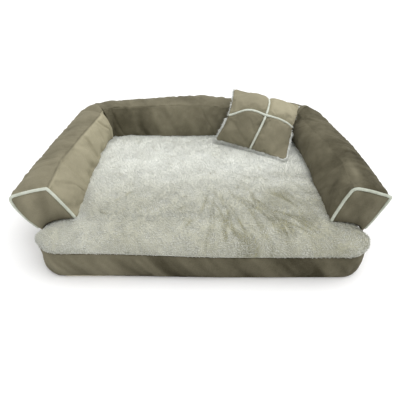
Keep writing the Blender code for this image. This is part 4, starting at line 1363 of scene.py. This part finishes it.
@dataclass
class TossPillow:
    """The loose pillow: four suede quarters with piping, and a plush back."""

    finishes: Finishes
    shop: ClothShop
    corners: tuple = (
        ((0.041, 0.143, 0.132), (0.150, 0.093, 0.129), (0.249, 0.032, 0.127)),
        ((0.083, 0.158, 0.209), (0.190, 0.134, 0.217), (0.277, 0.132, 0.180)),
        ((0.101, 0.232, 0.265), (0.2060, 0.206, 0.238), (0.304, 0.187, 0.230)),
    )
    count: int = 61
    thickness: float = 0.023
    rim: float = 0.0025
    groove: float = 0.010
    corner: float = 0.13

    def middle(self, across: np.ndarray, up: np.ndarray) -> np.ndarray:
        """The pillow's middle surface: parabolas through the three rows of three points.

        Its left half stands 12 mm fuller, as a Gaussian across times (1 - up^2)^2.
        """

        def weights(value: np.ndarray) -> list[np.ndarray]:
            """Shares of the three points of a parabola at a parameter from -1 to 1."""
            return [value * (value - 1) / 2, 1 - value * value, value * (value + 1) / 2]

        total = np.zeros((*np.broadcast(across, up).shape, 3))
        for row_weight, row in zip(weights(up), self.corners):
            for weight, corner in zip(weights(across), row):
                total += (row_weight * weight)[..., None] * np.array(corner)
        total[..., 2] += 0.012 * np.exp(-(((across + 0.42) / 0.30) ** 2)) * np.clip(1 - up * up, 0, 1) ** 2
        return total

    def sheets(self, side: float) -> tuple[np.ndarray, np.ndarray, np.ndarray]:
        """The front (side 1) or back (side -1) of the pillow.

        The half thickness is a crown over the whole, less a valley along each piping on the
        front, so that every quarter stands up by itself.

        The grid's own corners are drawn in to round ones, as the seat's are.

        Returns:
            (rows, columns, 3) places, and the grid's two parameters from -1 to 1.
        """
        u = np.linspace(-1, 1, self.count)
        high, wide = np.meshgrid(u, u, indexing="ij")
        across, up = round_cornered(wide, high, (1, 1), self.corner)
        centre = self.middle(across, up)
        right = self.middle(across + 0.01, up) - self.middle(across - 0.01, up)
        above = self.middle(across, up + 0.01) - self.middle(across, up - 0.01)
        normal = unit(np.cross(right, above))
        crown = np.sqrt(np.clip((1 - wide**2) * (1 - high**2), 0, 1))
        depth = self.rim + self.thickness * crown
        if side > 0:
            valley = np.exp(-((across / 0.07) ** 2)) + np.exp(-((up / 0.07) ** 2))
            depth = depth - self.groove * np.clip(valley, 0, 1) * crown ** 0.5
        return centre + side * depth[..., None] * normal, wide, high

    def build(self) -> dict[float, bpy.types.Object]:
        """Both covers before their simulation, held at the rim and along the pipings."""
        made = {}
        for side, name in ((1.0, "pillow_front"), (-1.0, "pillow_back")):
            points, across, up = self.sheets(side)
            faces = grid_faces(self.count, self.count)
            if side > 0:
                faces = faces[:, ::-1]
            obj = new_object(name, points, faces)
            set_value(obj.data, "across", across)
            set_value(obj.data, "up", up)
            pins = (np.maximum(np.abs(across), np.abs(up)) > 0.985).astype(float)
            if side > 0:
                pins[(np.abs(across) < 0.01) | (np.abs(up) < 0.01)] = 1.0
            self.shop.take(obj, pins.ravel(), pressure=2.0, slack=0.06, cap=0.008)
            made[side] = obj
        return made

    def finish(self, made: dict[float, bpy.types.Object]) -> None:
        """Refine both covers, press the seams in, and lay the pipings on the front."""
        front, back = made[1.0], made[-1.0]
        refined(front, 1)
        mesh = front.data
        points, normals = points_of(mesh), normals_of(mesh)
        across, up = value_of(mesh, "across"), value_of(mesh, "up")
        fold = layered_noise(points, 0.03, 71)
        move_points(mesh, points + normals * (0.0007 * fold)[:, None])
        # Each quarter's shade is partly the suede's nap and partly painted light, the upper quarters lighter.
        tone = np.where(up > 0, np.where(across > 0, 0.80, 0.62), np.where(across > 0, 0.48, 0.42))
        # Painted shadow beside the pipings, below the crosswise one and on both sides of the upright one, and
        # painted shade in the fold hollows.
        near = np.exp(-((up / 0.10) ** 2)) * (up < 0) + 0.5 * np.exp(-((across / 0.08) ** 2))
        set_value(mesh, "shade", tone + 0.06 * fold - 0.14 * near)
        grid = points_of(mesh)
        self._lay_pipings(grid, across, up)
        walled(front, SUEDE_WALL)
        faces = [f"pillow_face_{level}_{half}" for level in ("lower", "upper") for half in ("left", "right")]
        dress(front, self.finishes.fabric(SUEDE), "taupe_suede", PILLOW, *faces, "pillow_filling")

        refined(back, 1)
        mesh = back.data
        points, normals = points_of(mesh), normals_of(mesh)
        pile = plush_clumps(points, 73)
        move_points(mesh, points + normals * pile[:, None])
        # Painted shade: the plush is lighter on its raised clumps and darker between them.
        set_value(mesh, "shade", 0.8 + 0.1 * pile / 0.001)
        self._edge_pile(mesh, points_of(mesh), normals_of(mesh))
        walled(back, 0.0020)
        dress(back, self.finishes.fabric(PLUSH), "cream_plush", PILLOW, "pillow_plush_back")

    def _edge_pile(self, mesh: bpy.types.Mesh, points: np.ndarray, normals: np.ndarray) -> None:
        """Tufts over the plush back, and longer ones that stand out past the seam all round."""
        across, up = value_of(mesh, "across"), value_of(mesh, "up")
        rim = np.maximum(np.abs(across), np.abs(up))
        rng = np.random.default_rng(81)
        out = unit(points - points.mean(axis=0))
        lower = smoothstep((-0.88 - up) / 0.08)[:, None]
        out = out * (1 - lower) + np.array([-0.15, -1.0, 0.05]) * lower
        edge = np.repeat(np.nonzero(rim > 0.97)[0], 6)
        upper = np.where(across[edge] > 0.5, 0.03, 0.25)
        edge = edge[rng.random(len(edge)) < np.where(up[edge] > -0.1, upper, 1.0)]
        rest = rng.permutation(np.nonzero(rim < 0.97)[0])[:9000]
        for name, chosen, pile, push, rise in (
            ("pillow_edge_pile", edge, Pile(0.0120, 0.0026, 83), 0.9, out),
            ("pillow_back_pile", rest, Pile(0.0070, 0.0026, 84), 0.3, normals * 0.8),
        ):
            scatter = (rng.random((len(chosen), 3)) - 0.5) * 0.0042
            roots = points[chosen] + scatter + lower[chosen] * [0, 0, 0.0025]
            lean = out[chosen] * push + clump_lean(roots, 0.012, 85) * 0.3 + [0.0, -0.2, -0.15]
            lean += (rng.random((len(chosen), 3)) - 0.5) * (0.6 + 0.7 * lower[chosen])
            lean = capped(lean)
            tone = 0.92 - 0.30 * lower[chosen, 0] * rng.random(len(chosen))
            size = np.where(up[chosen] < -0.9, 1.1, np.where(up[chosen] < -0.1, 0.75, 0.5))[:, None]
            obj = pile.piece(name, roots, rise[chosen] * size, lean * size, tone)
            dress(obj, self.finishes.fabric(PLUSH), "cream_plush", PILLOW)

    def _lay_pipings(self, points: np.ndarray, across: np.ndarray, up: np.ndarray) -> None:
        """Cords along the grid lines where a parameter is zero, the crosswise one unbroken."""
        for name, on, other, low, high in (
            ("pillow_piping_across", up, across, -0.99, 0.99),
            ("pillow_piping_lower", across, up, -0.99, -0.03),
            ("pillow_piping_upper", across, up, 0.03, 0.99),
        ):
            chosen = np.nonzero((np.abs(on) < 1e-4) & (other >= low) & (other <= high))[0]
            chosen = chosen[np.argsort(other[chosen])]
            path = points[chosen]
            lift = unit(np.array([-0.35, -0.75, 0.56])) * CORD_RADIUS * 0.55
            path = even_path(path + lift, 0.0011, rounds=1)
            obj = round_cord(name, path, CORD_RADIUS, 12, ripple=0.0002)
            # The pillow's piping is painted lighter than the arms': painted light.
            set_value(obj.data, "shade", 0.85 + 0.2 * value_noise(points_of(obj.data), 0.006, 77))
            dress(obj, self.finishes.fabric(CORD), "cream_piping", PILLOW, name)


# ------------------------------------------------------------------ studio


@dataclass
class Studio:
    """Floor, lights and camera."""

    eye: tuple = (-0.0127, -0.9254, 0.7658)
    pitch: float = 39.4646
    yaw: float = 0.4652
    roll: float = 0.223
    lens: float = 34.79
    floor_half: float = 60.0

    def build(self) -> None:
        """Make the floor, the lights and the camera."""
        scene = bpy.context.scene
        scene.view_settings.view_transform = "Standard"
        world = bpy.data.worlds.new("studio")
        world.use_nodes = True
        world.node_tree.nodes["Background"].inputs[0].default_value = (1.0, 1.0, 1.0, 1)
        world.node_tree.nodes["Background"].inputs[1].default_value = 0.86
        scene.world = world
        corners = np.array([[-1, -1, 0], [1, -1, 0], [1, 1, 0], [-1, 1, 0]]) * self.floor_half
        floor = new_object("studio_floor", corners, [(0, 1, 2, 3)])
        material = bpy.data.materials.new("pale_floor")
        material.use_nodes = True
        shader = material.node_tree.nodes["Principled BSDF"]
        shader.inputs["Base Color"].default_value = (0.96, 0.96, 0.96, 1)
        shader.inputs["Roughness"].default_value = 0.9
        shader.inputs["Specular IOR Level"].default_value = 0.0
        floor.data.materials.append(material)
        self._sun("key", (0.40, 0.05, 1.0), 1.60, 60)
        camera = bpy.data.objects.new("camera", bpy.data.cameras.new("camera"))
        camera.data.lens, camera.data.sensor_width = self.lens, 36.0
        camera.data.clip_start = 0.05
        camera.matrix_world = (
            Matrix.Translation(Vector(self.eye))
            @ Matrix.Rotation(math.radians(-self.yaw), 4, "Z")
            @ Matrix.Rotation(math.radians(90 - self.pitch), 4, "X")
            @ Matrix.Rotation(math.radians(self.roll), 4, "Z")
        )
        scene.collection.objects.link(camera)
        scene.camera = camera

    @staticmethod
    def _sun(name: str, source: tuple, strength: float, spread: float) -> None:
        """A soft light from far off: the direction it comes from, and its spread in degrees."""
        lamp = bpy.data.lights.new(name, "SUN")
        lamp.energy, lamp.angle = strength, math.radians(spread)
        obj = bpy.data.objects.new(name, lamp)
        obj.rotation_euler = (-Vector(source)).to_track_quat("-Z", "Y").to_euler()
        bpy.context.scene.collection.objects.link(obj)


def dress_hidden_nodes(finishes: Finishes) -> None:
    """Give the CAD nodes that stay their materials."""
    metal, tape = finishes.solid(METAL), finishes.fabric(TAPE)
    chosen = {"foam_core": finishes.solid(FOAM), "zip_tape_lower": tape, "zip_tape_upper": tape}
    chosen |= dict.fromkeys(("zip_stop_left", "zip_stop_right", "zip_slider", "zip_pull_tab"), metal)
    for name, material in chosen.items():
        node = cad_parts[name]
        node.data.materials.clear()
        node.data.materials.append(material)


def main() -> None:
    """Build the bed's looks, sub-assembly by sub-assembly."""
    logging.basicConfig(level=logging.INFO, format="%(message)s")
    finishes, shop = Finishes(), ClothShop()
    Studio().build()
    seat = SeatCushion(finishes, shop)
    left = Bolster("left_arm", seat, finishes, shop, shades=(0.66, 0.43, 0.34), painted_light_along=(0.28, 0.0, 0.0),
                   spread=0.0125, bulge=0.002, end_bow=(0.30, 0.30, 1.15))
    right = Bolster("right_arm", seat, finishes, shop, mirror=-1.0, soft_ridge=True,
                    belly=0.018, bulge=0.006, ridge_in=0.010, kick=(0.017, 0.006), slack=0.03,
                    creases=(0.0014, 0.0010, 0.0016), pucker=0.0008, blotch=0.09, painted_highlight=0.22,
                    shades=(0.22, 0.09, 0.20), painted_light_along=(0.15, 0.08, 0.0), end_shade=0.27, cord_shade=0.30)
    back = Bolster("back", seat, finishes, shop, cell=0.0072, slack=0.03, blotch=0.09,
                   creases=(0.0026, 0.0010, 0.0018), shades=(0.26, 0.33, 0.28), painted_light_along=(0.16, 0.0, 0.0))
    pillow = TossPillow(finishes, shop)
    top, band = seat.build_top(), seat.build_band()
    covers = [(bolster, bolster.build()) for bolster in (left, right, back)]
    pillow_covers = pillow.build()
    shop.run()
    seat.finish_top(top)
    seat.finish_band(band)
    for bolster, cover in covers:
        bolster.finish(cover)
    left.build_end()
    right.build_end()
    pillow.finish(pillow_covers)
    BackOpening(finishes).build()
    GripBase(seat, finishes).build()
    dress_hidden_nodes(finishes)
    bpy.context.view_layer.update()


if __name__ == "__main__":
    main()
